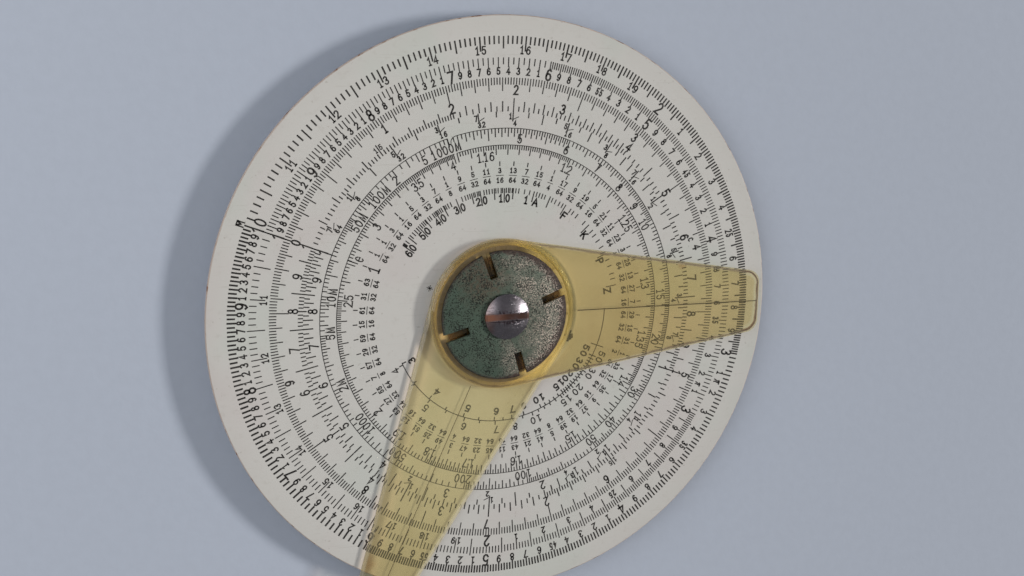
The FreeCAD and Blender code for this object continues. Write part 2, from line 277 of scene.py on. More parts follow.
# The disc's white enamel: aged, faintly blotched, scratched, and chipped to rusty steel at the rim.
enamel = dict(
    white=(0.735, 0.712, 0.668, 1),
    pinkish=(0.725, 0.680, 0.645, 1),
    greenish=(0.700, 0.705, 0.650, 1),
    grime=(0.36, 0.31, 0.25, 1),
    bareSteel=(0.66, 0.54, 0.46, 1),
    rust=(0.27, 0.115, 0.055, 1),
    handledWidth=4.0 * mm,
    rimWidth=0.13 * mm,
    rimSoft=0.05 * mm,
    chipDepth=0.9 * mm,
    chipStart=0.42 * mm,
    roughness=0.34,
    peel=0.012 * mm,
)


def makeEnamel():
    material, tree, surface, _, place = newMaterial("white_enamel")
    edge = dial["radius"]
    pink = fade(tree, grain(tree, place, 45.0, 3.0), 0.5, 0.68)
    green = fade(tree, grain(tree, place, 60.0, 2.0, stretch=(1.0, 1.0, 3.0)), 0.52, 0.7)
    colour = blendColour(tree, pink, enamel["white"], enamel["pinkish"])
    colour = blendColour(tree, green, colour, enamel["greenish"])
    mottle = grain(tree, place, 900.0, 4.0)
    colour = blendColour(tree, fade(tree, mottle, 0.5, 0.9, 0, 0.2), colour, enamel["grime"])
    nearRim = {"Place": place, "Inner": edge, "Outer": 1.0, "Soft": enamel["handledWidth"]}
    handled = useGroup(tree, ringGroup, nearRim)
    dirt = times(tree, handled.outputs["Band"], grain(tree, place, 260.0, 5.0, 0.7))
    colour = blendColour(tree, times(tree, dirt, 0.1), colour, enamel["grime"])
    specks = useGroup(tree, speckGroup, {"Place": place, "Scale": 1500.0, "Cover": 0.1, "Soft": 0.03})
    colour = blendColour(tree, times(tree, specks.outputs[0], 0.3), colour, enamel["grime"])
    lines = useGroup(tree, scratchGroup, {"Place": place, "Scale": 160.0, "Amount": 0.45})
    colour = blendColour(tree, times(tree, lines.outputs[0], 0.12), colour, enamel["grime"])

    ragged = times(tree, grain(tree, place, 420.0, 5.0, 0.65), enamel["chipDepth"])
    chipStart = minus(tree, edge + enamel["chipStart"], ragged)
    outside = {"Place": place, "Outer": 1.0, "Soft": enamel["rimSoft"]}
    chips = useGroup(tree, ringGroup, dict(outside, Inner=chipStart))
    rim = useGroup(tree, ringGroup, dict(outside, Inner=edge - enamel["rimWidth"]))
    bare = compute(tree, "MAXIMUM", chips.outputs["Band"], rim.outputs["Band"])
    rusty = fade(tree, grain(tree, place, 500.0, 4.0, 0.6), 0.54, 0.68)
    metal = blendColour(tree, rusty, enamel["bareSteel"], enamel["rust"])
    colour = blendColour(tree, bare, colour, metal)
    setInput(tree, surface, "Base Color", colour)
    shine = plus(tree, fade(tree, mottle, 0.3, 0.8, -0.05, 0.12), enamel["roughness"])
    setInput(tree, surface, "Roughness", plus(tree, shine, times(tree, bare, 0.3)))
    steel = times(tree, bare, minus(tree, 1.0, rusty))
    setInput(tree, surface, "Metallic", times(tree, steel, 0.2))
    height = plus(tree, grain(tree, place, 1100.0, 3.0), times(tree, bare, -2.0))
    addBump(tree, surface, height, enamel["peel"])
    return material


# The printed scales: warm black ink, thin in places.
ink = dict(
    black=(0.020, 0.017, 0.015, 1), faded=(0.11, 0.10, 0.09, 1), roughness=0.55, grit=0.004 * mm,
)


def makeInk():
    material, tree, surface, _, place = newMaterial("scale_ink")
    worn = fade(tree, grain(tree, place, 130.0, 4.0, 0.6), 0.46, 0.72)
    thin = fade(tree, grain(tree, place, 2600.0, 2.0), 0.5, 0.75)
    share = times(tree, worn, plus(tree, times(tree, thin, 0.6), 0.4))
    setInput(tree, surface, "Base Color", blendColour(tree, share, ink["black"], ink["faded"]))
    setInput(tree, surface, "Roughness", fade(tree, thin, 0, 1, ink["roughness"], ink["roughness"] + 0.2))
    addBump(tree, surface, grain(tree, place, 4000.0, 2.0), ink["grit"])
    return material


# Yellowed celluloid. Lamps pass through as through a tinted film, so that the print below is lit. The
# sheet's edge throws a grey band and, inside that, a narrow bright one.
celluloid = dict(
    # An aged brown tone of the sheet, also used as the colour of the painted shade beside the spring
    # washer's rim.
    brownToneAndShade=(0.60, 0.47, 0.20, 1),
    edgeBrown=(0.19, 0.095, 0.055, 1),
    bevelPale=(1.0, 0.96, 0.70, 1),
    bevelMatt=(0.86, 0.77, 0.58, 1),
    stained=(0.62, 0.30, 0.13, 1),
    # Painted shade under the spring washer, seen through its slots: near its rim, and deep inside.
    underWasherShade=(0.066, 0.036, 0.015, 1),
    deepSlotShade=(0.012, 0.009, 0.005, 1),
    # The painted shade on a hub: the side it lies on, and its colour.
    shadedSide=(0.87, 0.50, 0.0),
    hubShaded=(0.40, 0.37, 0.20, 1),
    lampEdge=(0.20, 0.165, 0.175, 1),
    lampGlow=(1.55, 1.34, 1.25, 1),
    lampHub=(1.24, 1.18, 1.02, 1),
    hubTint=(1.0, 0.92, 0.58, 1),
    clear=0.935,
    hubRadius=13.3 * mm,
    hubSoft=0.5 * mm,
    cornerRadius=2.4 * mm,
    bevel=0.6 * mm,
    waviness=0.07 * mm,
    shadeReach=(4.0 * mm, 11.5 * mm),
    springRimShadeWidth=0.8 * mm,  # these three are distances from the spring washer's rim
    slotReach=(4.0 * mm, 1.2 * mm),
    springLip=(0.9 * mm, 0.05 * mm),
    brownLine=(0.20 * mm, 0.56 * mm, 0.10 * mm),  # distances from the sheet's edge, and how soft they are
    paleLine=(0.62 * mm, 1.15 * mm, 0.12 * mm),
    tipReach=(5.0 * mm, 1.8 * mm),
    bandFade=4.0 * mm,
    glowWidth=0.9 * mm,
    glowSoft=0.2 * mm,
    stains=(  # place and size in millimetres
        ((-24.6, -43.4), 2.6), ((-26.2, -46.0), 1.6), ((34.0, 7.5), 1.2), ((27.4, -9.3), 1.4),
        ((30.6, -8.9), 0.7),
    ),
)
# Each cursor's own tints, angle, reach and half width at its tip, how brown its sides and its tip are, how
# matt its bevel is, how much painted shade lies on its hub's lamp side, and, in its own axes, the side
# whose edge throws a band.
cursorSheets = {
    "long_cursor": dict(
        tint=(1.0, 0.935, 0.62, 1), outerTint=(0.62, 0.50, 0.22, 1), lampTint=(0.94, 0.91, 0.82, 1),
        angle=246.4, reach=60.4 * mm, half=3.6 * mm,
        brown=0.0, tipBrown=0.35, matt=0.50, hubShade=0.0,
        bandSide=(0, -1, 0), bandFrom=-1.5 * mm, bandWidth=1.2 * mm, hubBand=0.0,
    ),
    "short_cursor": dict(
        tint=(0.92, 0.795, 0.45, 1), outerTint=(0.99, 0.93, 0.64, 1), lampTint=(0.92, 0.89, 0.81, 1),
        angle=0.0, reach=49.9 * mm, half=5.5 * mm,
        brown=0.72, tipBrown=1.0, matt=0.12, hubShade=0.8,
        bandSide=(-1, 0, 0), bandFrom=-7.0 * mm, bandWidth=2.1 * mm, hubBand=1.0,
    ),
    "rear_cursor": dict(
        tint=(0.93, 0.83, 0.52, 1), outerTint=(0.85, 0.72, 0.40, 1), lampTint=(0.90, 0.87, 0.80, 1),
        angle=158.9, reach=49.0 * mm, half=5.6 * mm,
        brown=0.4, tipBrown=0.8, matt=0.15, hubShade=0.4,
        bandSide=(0, 1, 0), bandFrom=-1.5 * mm, bandWidth=1.0 * mm, hubBand=1.0,
    ),
}


def makeCelluloid(cursor):
    sheet = cursorSheets[cursor]
    material, tree, surface, output, place = newMaterial("celluloid_" + cursor)
    turned = turnedPlace(tree, place, sheet["angle"])
    cloud = grain(tree, place, 70.0, 4.0, 0.55)
    colour = blendColour(tree, fade(tree, cloud, 0.4, 0.75, 0, 0.3), sheet["tint"], celluloid["brownToneAndShade"])
    radius = axisDistance(tree, place)
    hub = celluloid["hubRadius"]
    overHub = fade(tree, radius, hub, hub + celluloid["hubSoft"], 1, 0)
    colour = blendColour(tree, times(tree, overHub, 0.8), colour, celluloid["hubTint"])
    # Painted shade: the hub's side towards shadedSide, where the key lamp falls, is darkened by hubShaded.
    sideways = alongSide(tree, turned, celluloid["shadedSide"])
    shaded = times(tree, overHub, fade(tree, sideways, *celluloid["shadeReach"], 0, sheet["hubShade"]))
    colour = blendColour(tree, shaded, colour, celluloid["hubShaded"])
    # Painted shade on the celluloid just outside the spring washer's rim.
    springRimShade = fade(tree, radius, springEdge, springEdge + celluloid["springRimShadeWidth"], 0.12, 0)
    colour = blendColour(tree, springRimShade, colour, celluloid["brownToneAndShade"])
    # Painted shade under the spring washer, seen through its slots: darkest deep inside, lighter towards
    # the washer's rim.
    outInSlot = fade(tree, radius, *(springEdge - inset for inset in celluloid["slotReach"]))
    underWasherShadeColour = blendColour(tree, outInSlot, celluloid["deepSlotShade"], celluloid["underWasherShade"])
    underWasherShade = fade(tree, radius, *(springEdge - inset for inset in celluloid["springLip"]), 1, 0)
    colour = blendColour(tree, underWasherShade, colour, underWasherShadeColour)
    for (x, y), size in celluloid["stains"]:
        spread = {"Place": place, "Centre": (x * mm, y * mm, 0), "Size": size * mm}
        share = times(tree, useGroup(tree, stainGroup, spread).outputs[0], 0.5)
        colour = blendColour(tree, share, colour, celluloid["stained"])

    taper = math.asin(hub / math.hypot(sheet["reach"], sheet["half"]))
    taper -= math.atan2(sheet["half"], sheet["reach"])
    outline = {
        "Place": turned, "Hub": hub, "Reach": sheet["reach"], "Corner": celluloid["cornerRadius"],
        "Lean Cosine": math.sin(taper), "Lean Sine": math.cos(taper),
    }
    edge = useGroup(tree, armEdgeGroup, outline).outputs[0]
    along = partsOf(tree, turned)["X"]
    atTip = fade(tree, along, *(sheet["reach"] - inset for inset in celluloid["tipReach"]))
    outward = fade(tree, along, sheet["reach"] * 0.4, sheet["reach"] * 0.95, 0, 0.35)
    colour = blendColour(tree, outward, colour, sheet["outerTint"])

    uneven = fade(tree, grain(tree, place, 300.0, 3.0), 0.35, 0.65, 0.8, 1.2)
    ragged = times(tree, edge, uneven)
    innerEdge = times(tree, between(tree, ragged, *celluloid["paleLine"]), atTip)
    onBevel = fade(tree, edge, celluloid["bevel"] * 0.85, celluloid["bevel"] * 1.1, 0.8, 0)
    pale = compute(tree, "MAXIMUM", onBevel, times(tree, innerEdge, 0.85))
    colour = blendColour(tree, pale, colour, celluloid["bevelPale"])
    line = between(tree, ragged, *celluloid["brownLine"])
    browner = times(tree, line, fade(tree, atTip, 0, 1, sheet["brown"], sheet["tipBrown"]))
    browner = times(tree, browner, fade(tree, overHub, 0, 1, 1, 0.5))
    colour = blendColour(tree, browner, colour, celluloid["edgeBrown"])

    setInput(tree, surface, "Base Color", colour)
    surface.inputs["Transmission Weight"].default_value = celluloid["clear"]
    surface.inputs["IOR"].default_value = 1.5
    geometry = addNode(tree, "NewGeometry").outputs
    level = compute(tree, "ABSOLUTE", partsOf(tree, geometry["True Normal"])["Z"])
    sawn = fade(tree, level, 0.2, 0.6, 1, 0)
    lines = useGroup(tree, scratchGroup, {"Place": place, "Scale": 220.0, "Amount": 0.3})
    worn = plus(tree, times(tree, lines.outputs[0], 0.15), sawn)
    shine = plus(tree, fade(tree, cloud, 0.3, 0.8, 0.02, 0.06), times(tree, worn, 0.4))
    setInput(tree, surface, "Roughness", shine)
    addBump(tree, surface, grain(tree, place, 110.0, 1.0), celluloid["waviness"])

    matt = addNode(tree, "BsdfDiffuse")
    matt.inputs["Color"].default_value = celluloid["bevelMatt"]
    towards = alongSide(tree, turned, sheet["bandSide"])
    farSide = fade(tree, towards, sheet["bandFrom"], sheet["bandFrom"] + celluloid["bandFade"], 0.05, 1)
    mattShare = times(tree, onBevel, fade(tree, farSide, 0, 1, sheet["matt"], sheet["matt"] * 0.2))
    body = addNode(tree, "MixShader", {0: mattShare, 1: surface.outputs[0], 2: matt.outputs[0]})
    # The band is thrown where a lamp's ray leaves the sheet, so that it isn't counted twice.
    leaving = geometry["Backfacing"]
    banded = times(tree, farSide, fade(tree, overHub, 0, 1, 1, sheet["hubBand"]))
    banded = times(tree, banded, leaving)
    wide = sheet["bandWidth"]
    grey = times(tree, fade(tree, edge, wide * 0.8, wide * 1.15, 1, 0), banded)
    glowStart, glowEnd = wide * 1.1, wide * 1.1 + celluloid["glowWidth"]
    glow = times(tree, between(tree, edge, glowStart, glowEnd, celluloid["glowSoft"]), banded)
    lampColour = blendColour(tree, overHub, sheet["lampTint"], celluloid["lampHub"])
    lampColour = blendColour(tree, glow, lampColour, celluloid["lampGlow"])
    dimmed = compute(tree, "MAXIMUM", sawn, grey)
    lampColour = blendColour(tree, dimmed, lampColour, celluloid["lampEdge"])
    film = addNode(tree, "BsdfTransparent")
    setInput(tree, film, "Color", lampColour)
    path = addNode(tree, "LightPath").outputs
    seen = addNode(tree, "MixShader", {0: path["Is Diffuse Ray"], 1: body.outputs[0], 2: film.outputs[0]})
    both = addNode(tree, "MixShader", {0: path["Is Shadow Ray"], 1: seen.outputs[0], 2: film.outputs[0]})
    setInput(tree, output, "Surface", both.outputs[0])
    return material


# Plated spring steel with a green-grey patina, pitted all over and worn brown at its rim.
# Towards +X, where the key lamp falls, it is drawn greyer and with more pale crumbs: painted sheen and
# glints over the patina's own uneven tone.
springPatina = dict(
    green=(0.094, 0.138, 0.100, 1),
    grey=(0.215, 0.215, 0.170, 1),
    brown=(0.140, 0.105, 0.072, 1),
    pit=(0.014, 0.017, 0.012, 1),
    pale=(0.70, 0.59, 0.49, 1),
    worn=(0.060, 0.026, 0.020, 1),
    brownSpot=(-4.5 * mm, 6.8 * mm, 0),
    brownSize=6.5 * mm,
    litSideSheenReach=(-8 * mm, 10 * mm),
    wearReach=(-4 * mm, 9 * mm),
    wearWidths=(1.0 * mm, 3.9 * mm),
    wearOut=0.75 * mm,
    wearSoft=0.9 * mm,
    glintsAndCrumbsInset=(1.2 * mm, 0.3 * mm),
    pitDepth=0.06 * mm,
)


def makeSpringPatina():
    material, tree, surface, _, place = newMaterial("spring_patina")
    side = partsOf(tree, place)["X"]
    cloud = grain(tree, place, 240.0, 4.0, 0.6)
    # Greyer towards +X: partly the patina's own uneven tone, partly painted sheen on the side the key lamp
    # lights.
    lean = plus(tree, fade(tree, side, *springPatina["litSideSheenReach"], -0.25, 0.3), cloud)
    colour = blendColour(tree, fade(tree, lean, 0.3, 0.85), springPatina["green"], springPatina["grey"])
    spot = {"Place": place, "Centre": springPatina["brownSpot"], "Size": springPatina["brownSize"]}
    patch = useGroup(tree, stainGroup, spot)
    freckles = grain(tree, place, 1900.0, 3.0, 0.6)
    brown = times(tree, patch.outputs[0], fade(tree, freckles, 0.35, 0.6, 0.2, 0.9))
    colour = blendColour(tree, brown, colour, springPatina["brown"])
    spread = fade(tree, side, *springPatina["wearReach"], *springPatina["wearWidths"])
    ragged = times(tree, freckles, spread)
    wearStart = minus(tree, springEdge + springPatina["wearOut"], ragged)
    rimward = {"Place": place, "Inner": wearStart, "Outer": 1.0, "Soft": springPatina["wearSoft"]}
    wear = useGroup(tree, ringGroup, rimward)
    worn = wear.outputs["Band"]
    colour = blendColour(tree, times(tree, worn, 0.9), colour, springPatina["worn"])
    dots = useGroup(tree, speckGroup, {"Place": place, "Scale": 4200.0, "Cover": 0.42, "Soft": 0.07})
    colour = blendColour(tree, times(tree, dots.outputs[0], 0.9), colour, springPatina["pit"])
    crumbs = grain(tree, place, 4300.0, 2.0)
    # Pale crumbs, more where the patina is greyer: partly real crumbs, partly painted glints.
    glintsAndCrumbs = times(tree, fade(tree, crumbs, 0.5, 0.6), fade(tree, lean, 0.42, 0.80))
    low, high = (springEdge - inset for inset in springPatina["glintsAndCrumbsInset"])
    inward = fade(tree, wear.outputs["Radius"], low, high, 1, 0.05)
    glintsAndCrumbs = times(tree, glintsAndCrumbs, times(tree, inward, 0.85))
    colour = blendColour(tree, glintsAndCrumbs, colour, springPatina["pale"])
    setInput(tree, surface, "Base Color", colour)
    sheen = minus(tree, 1.0, worn)
    setInput(tree, surface, "Metallic", times(tree, sheen, fade(tree, crumbs, 0.4, 0.6, 0.15, 0.45)))
    rough = plus(tree, fade(tree, cloud, 0.3, 0.7, 0.40, 0.6), times(tree, worn, 0.25))
    setInput(tree, surface, "Roughness", rough)
    height = plus(tree, crumbs, times(tree, dots.outputs[0], -0.8))
    addBump(tree, surface, height, springPatina["pitDepth"])
    return material


# The screw: polished steel gone slightly purple, with copper-coloured rust in its slot, painted shade at
# the slot's right end, and burrs beside it that carry a painted shadow line.
screwSteel = dict(
    steel=(0.275, 0.252, 0.275, 1),
    dull=(0.095, 0.080, 0.090, 1),
    rust=(0.27, 0.115, 0.070, 1),
    slotEndShade=(0.080, 0.034, 0.024, 1),
    copper=(0.30, 0.165, 0.120, 1),
    burrAndShadow=(0.085, 0.050, 0.060, 1),
    slotAngle=181.2,
    slotHalf=0.77 * mm,
    slotTop=(0.45 * mm, 0.25 * mm),  # how far below the head's top the slot's rust and painted shade start
    copperReach=(-3.9 * mm, -1.8 * mm),
    slotEndShadeReach=(-3.4 * mm, 0.5 * mm),
    burrAndShadowWidth=0.9 * mm,
    burrAndShadowReach=(1.4 * mm, 2.6 * mm),
    scratchDepth=0.01 * mm,
)


def makeScrewSteel():
    material, tree, surface, _, place = newMaterial("screw_steel")
    turned = turnedPlace(tree, place, screwSteel["slotAngle"])
    here, parts = partsOf(tree, place), partsOf(tree, turned)
    across = compute(tree, "ABSOLUTE", parts["Y"])
    cloud = grain(tree, place, 500.0, 4.0, 0.6)
    clouded = fade(tree, cloud, 0.42, 0.75, 0, 0.7)
    colour = blendColour(tree, clouded, screwSteel["steel"], screwSteel["dull"])
    coppery = times(tree, fade(tree, here["X"], *screwSteel["copperReach"], 0.8, 0), cloud)
    colour = blendColour(tree, coppery, colour, screwSteel["copper"])
    half = screwSteel["slotHalf"]
    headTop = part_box("pivot_screw")[1].z
    below = fade(tree, here["Z"], *(headTop - depth for depth in screwSteel["slotTop"]), 1, 0)
    inSlot = times(tree, fade(tree, across, half * 0.5, half, 1, 0), below)
    # The slot's floor: rust towards its left end, and painted shade at its right end.
    rusty = times(tree, inSlot, fade(tree, cloud, 0.25, 0.55, 0.7, 1))
    leftward = fade(tree, here["X"], *screwSteel["slotEndShadeReach"], 1, 0)
    slotRustAndShade = blendColour(tree, leftward, screwSteel["slotEndShade"], screwSteel["rust"])
    colour = blendColour(tree, rusty, colour, slotRustAndShade)
    # Dark streaks beside the slot on the head's top: partly burrs, partly a painted shadow line along the
    # slot's edges.
    streaks = fade(tree, grain(tree, turned, 2600.0, 2.0, 0.6, stretch=(1.0, 0.14, 1.0)), 0.50, 0.60)
    besideSlot = fade(tree, across, half, half + screwSteel["burrAndShadowWidth"], 1, 0)
    alongSlot = compute(tree, "ABSOLUTE", parts["X"])
    besideSlot = times(tree, besideSlot, fade(tree, alongSlot, *screwSteel["burrAndShadowReach"], 0.9, 0))
    onTop = minus(tree, 1.0, inSlot)
    burrsAndShadow = times(tree, times(tree, streaks, besideSlot), onTop)
    colour = blendColour(tree, burrsAndShadow, colour, screwSteel["burrAndShadow"])
    lines = useGroup(tree, scratchGroup, {"Place": place, "Scale": 900.0, "Amount": 0.8})
    setInput(tree, surface, "Base Color", colour)
    setInput(tree, surface, "Metallic", minus(tree, 1.0, times(tree, rusty, 0.5)))
    smooth = fade(tree, cloud, 0.3, 0.75, 0.23, 0.40)
    shine = plus(tree, smooth, times(tree, lines.outputs[0], 0.15))
    setInput(tree, surface, "Roughness", plus(tree, shine, times(tree, rusty, 0.25)))
    height = plus(tree, grain(tree, place, 1500.0, 3.0), times(tree, lines.outputs[0], -0.5))
    addBump(tree, surface, height, screwSteel["scratchDepth"])
    return material


# The barrel behind: turned brass under thin nickel.
barrelBrass = dict(
    nickel=(0.50, 0.47, 0.40, 1),
    brass=(0.40, 0.27, 0.10, 1),
    grime=(0.07, 0.055, 0.035, 1),
    lathed=0.004 * mm,
)


def makeBarrelBrass():
    material, tree, surface, _, place = newMaterial("barrel_brass")
    cloud = grain(tree, place, 420.0, 5.0, 0.65)
    colour = blendColour(tree, fade(tree, cloud, 0.42, 0.62), barrelBrass["nickel"], barrelBrass["brass"])
    dots = useGroup(tree, speckGroup, {"Place": place, "Scale": 2600.0, "Cover": 0.26, "Soft": 0.06})
    colour = blendColour(tree, dots.outputs[0], colour, barrelBrass["grime"])
    waves = {"Vector": place, "Scale": 900.0, "Distortion": 0.4}
    lathed = addNode(tree, "TexWave", waves, wave_type="RINGS", rings_direction="Z").outputs["Fac"]
    setInput(tree, surface, "Base Color", colour)
    setInput(tree, surface, "Metallic", minus(tree, 1.0, times(tree, dots.outputs[0], 0.8)))
    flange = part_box("pivot_barrel")[1].x
    spread = fade(tree, axisDistance(tree, place), 0.0, flange, 0.26, 0.36)
    setInput(tree, surface, "Roughness", plus(tree, spread, times(tree, cloud, 0.15)))
    addBump(tree, surface, lathed, barrelBrass["lathed"])
    return material


# Oiled vulcanised fibre for the friction washers.
fibre = dict(tan=(0.78, 0.66, 0.40, 1), dark=(0.66, 0.54, 0.30, 1), strandDepth=0.03 * mm)


def makeFibre():
    material, tree, surface, _, place = newMaterial("oiled_fibre")
    strands = grain(tree, place, 900.0, 5.0, 0.6, stretch=(1.0, 1.0, 8.0))
    colour = blendColour(tree, fade(tree, strands, 0.4, 0.65), fibre["tan"], fibre["dark"])
    setInput(tree, surface, "Base Color", colour)
    setInput(tree, surface, "Roughness", fade(tree, strands, 0.3, 0.7, 0.55, 0.8))
    addBump(tree, surface, strands, fibre["strandDepth"])
    return material


finishes = {
    "enamel": makeEnamel(),
    "spring_metal": makeSpringPatina(),
    "screw_steel": makeScrewSteel(),
    "brass": makeBarrelBrass(),
    "fibre": makeFibre(),
}
inkMaterial = makeInk()
for name, node in cadNodes.items():
    slotName = node.material_slots[0].material.name.split(".")[0]
    finish = makeCelluloid(name) if name in cursorSheets else finishes[slotName]
    node.material_slots[0].material = finish
print("finishes:", ", ".join(finishes))


# Figures as pen strokes in a cell one wide and one high. "l" is a one without a foot, "p" the sign for pi.

def bow(centreX, centreY, halfWidth, halfHeight, start, end, steps):
    points = []
    for i in range(steps + 1):
        angle = math.radians(start + (end - start) * i / steps)
        points.append((centreX + halfWidth * math.cos(angle), centreY + halfHeight * math.sin(angle)))
    return points


def upsideDown(strokes):
    return [[(1 - x, 1 - y) for x, y in stroke] for stroke in strokes]


sixTop = [(0.86, 0.88), (0.62, 1.0), (0.24, 0.86), (0.04, 0.5)]
sixStrokes = [sixTop + bow(0.5, 0.30, 0.48, 0.30, 165, -195, 10)]
figures = {
    "0": [bow(0.5, 0.5, 0.48, 0.5, 90, 450, 12)],
    "1": [[(0.14, 0.78), (0.52, 1.0), (0.52, 0.0)], [(0.24, 0.0), (0.80, 0.0)]],
    "l": [[(0.10, 0.76), (0.52, 1.0), (0.52, 0.0)]],
    "2": [bow(0.5, 0.72, 0.46, 0.28, 160, -30, 6) + [(0.03, 0.0), (1.0, 0.0)]],
    "3": [bow(0.46, 0.76, 0.40, 0.24, 150, -80, 6) + bow(0.46, 0.28, 0.50, 0.28, 80, -155, 7)],
    "4": [[(0.70, 0.0), (0.70, 1.0), (0.0, 0.30), (1.0, 0.30)]],
    "5": [[(0.92, 1.0), (0.18, 1.0), (0.10, 0.54)] + bow(0.48, 0.32, 0.48, 0.32, 120, -155, 7)],
    "6": sixStrokes,
    "7": [[(0.0, 1.0), (1.0, 1.0), (0.38, 0.0)]],
    "8": [bow(0.5, 0.76, 0.38, 0.24, 90, 450, 8), bow(0.5, 0.27, 0.48, 0.27, 90, 450, 9)],
    "9": upsideDown(sixStrokes),
    "A": [[(0.0, 0.0), (0.5, 1.0), (1.0, 0.0)], [(0.18, 0.34), (0.82, 0.34)]],
    "F": [[(0.95, 1.0), (0.12, 1.0), (0.12, 0.0)], [(0.12, 0.52), (0.75, 0.52)]],
    "K": [[(0.1, 0.0), (0.1, 1.0)], [(0.95, 1.0), (0.12, 0.38)], [(0.38, 0.58), (1.0, 0.0)]],
    "P": [[(0.12, 0.0), (0.12, 1.0)] + bow(0.55, 0.74, 0.40, 0.26, 90, -90, 5) + [(0.12, 0.48)]],
    "Z": [[(0.08, 1.0), (0.92, 1.0), (0.05, 0.0), (0.98, 0.0)]],
    "M": [[(0.05, 0.0), (0.12, 1.0), (0.5, 0.12), (0.88, 1.0), (0.95, 0.0)]],
    "e": [[(0.08, 0.52), (0.94, 0.52)] + bow(0.5, 0.5, 0.45, 0.48, 0, 315, 9)],
    "c": [bow(0.5, 0.5, 0.46, 0.5, 50, 310, 8)],
    "p": [
        [(0.0, 0.84), (0.2, 1.0), (1.0, 1.0)], [(0.40, 1.0), (0.14, 0.0)],
        [(0.74, 1.0), (0.66, 0.16), (0.84, 0.0)],
    ],
    ".": [[(0.5, 0.0), (0.5, 0.07)]],
    "/": [[(0.0, 0.0), (1.0, 1.0)]],
}
# A few figures take a cell of another width, or a heavier stroke.
cellWidths = {".": 0.15, "M": 1.25}
heavier = {"M": 1.45}


# Both edges of a stroke of even width, mitred at its corners and square at its ends.
def strokeEdges(points, width):
    points = [Vector(p) for p in points]
    half = width / 2
    closed = (points[0] - points[-1]).length < width * 0.1
    if closed:
        points.pop()
    left, right = [], []
    for i, point in enumerate(points):
        first = i == 0 and not closed
        last = i == len(points) - 1 and not closed
        arriving = None if first else (point - points[i - 1]).normalized()
        leaving = None if last else (points[(i + 1) % len(points)] - point).normalized()
        if first:
            point = point - leaving * half
        if last:
            point = point + arriving * half
        along = ((arriving or leaving) + (leaving or arriving)).normalized()
        lean = along.dot(leaving or arriving)
        side = Vector((-along.y, along.x)) * (half / max(lean, 0.45))
        left.append(point + side)
        right.append(point - side)
    return left, right, closed


# Ink gathered for one side of the disc: side is 1 for the front and -1 for the back.
def newInk(side):
    level = dial["front"] if side > 0 else dial["back"]
    return dict(side=side, level=level, vertices=[], faces=[], marks=[])


def inkStroke(sheet, points, width):
    left, right, closed = strokeEdges(points, width)
    top = sheet["level"] + sheet["side"] * dial["inkProud"]
    foot = sheet["level"] - sheet["side"] * dial["inkSunk"]
    start = len(sheet["vertices"])
    for a, b in zip(left, right):
        sheet["vertices"] += [(a.x, a.y, top), (b.x, b.y, top), (b.x, b.y, foot), (a.x, a.y, foot)]
    count = len(left)
    faces = []
    for i in range(count if closed else count - 1):
        p = start + 4 * i
        q = start + 4 * ((i + 1) % count)
        faces += [(p + k, q + k, q + (k + 1) % 4, p + (k + 1) % 4)[::-1] for k in range(4)]
    if not closed:
        last = start + 4 * (count - 1)
        faces += [(start + 3, start + 2, start + 1, start), (last, last + 1, last + 2, last + 3)]
    if sheet["side"] < 0:
        faces = [face[::-1] for face in faces]
    sheet["faces"] += faces


# The angle from +X of a dial angle, which runs clockwise as seen from its own side of the disc.
def frameAngle(sheet, theta):
    return math.radians(dial["indexAngle"] - sheet["side"] * theta)


def polar(sheet, theta, share):
    angle = frameAngle(sheet, theta)
    radius = share * dial["radius"]
    return (radius * math.cos(angle), radius * math.sin(angle))


def inkFigure(sheet, figure, theta, foot, height, width, stroke, slant=0.0):
    angle = frameAngle(sheet, theta)
    outward = Vector((math.cos(angle), math.sin(angle)))
    across = Vector((outward.y, -outward.x)) * sheet["side"]
    for line in figures[figure]:
        placed = []
        for x, y in line:
            sideways = (x - 0.5) * (width - stroke) + slant * (y - 0.5) * height
            up = foot + stroke / 2 + y * (height - stroke)
            placed.append((outward * up + across * sideways) * dial["radius"])
        inkStroke(sheet, placed, stroke * dial["radius"])


# A number whose figures each stand on the dial's own circle. Sizes are shares of the disc's radius.
def inkText(sheet, text, theta, foot, height, width, stroke, pitch=None, slant=0.0):
    pitch = pitch or width * 1.22
    cells = [cellWidths.get(figure, 1.0) for figure in text]
    along = -sum(cells) / 2
    step = math.degrees(pitch / (foot + height / 2))
    for figure, cell in zip(text, cells):
        wide, pen = width * max(cell, 1.0), stroke * heavier.get(figure, 1.0)
        inkFigure(sheet, figure, theta + (along + cell / 2) * step, foot, height, wide, pen, slant)
        along += cell


def inkCircle(sheet, share, start, end, width, stepDegrees=1.5):
    count = max(2, round(abs(end - start) / stepDegrees))
    points = [polar(sheet, start + (end - start) * i / count, share) for i in range(count + 1)]
    if abs(end - start) >= 360:
        points[-1] = points[0]
    inkStroke(sheet, points, width * dial["radius"])


# A tick from one radius to another. Width is a share of the disc's radius too.
def mark(sheet, theta, start, end, width):
    x, y = polar(sheet, theta, (start + end) / 2)
    sheet["marks"].append((x, y, abs(end - start) * dial["radius"], width * dial["radius"]))


# Ticks at whole multiples of step. lengths has (every, length) pairs, and the first that fits wins.
def markRow(sheet, angleOf, step, first, last, edge, lengths, width):
    for k in range(first, last + 1):
        for every, length in lengths:
            if k % every == 0:
                if length:
                    mark(sheet, angleOf(k * step), edge, edge + length, width)
                break


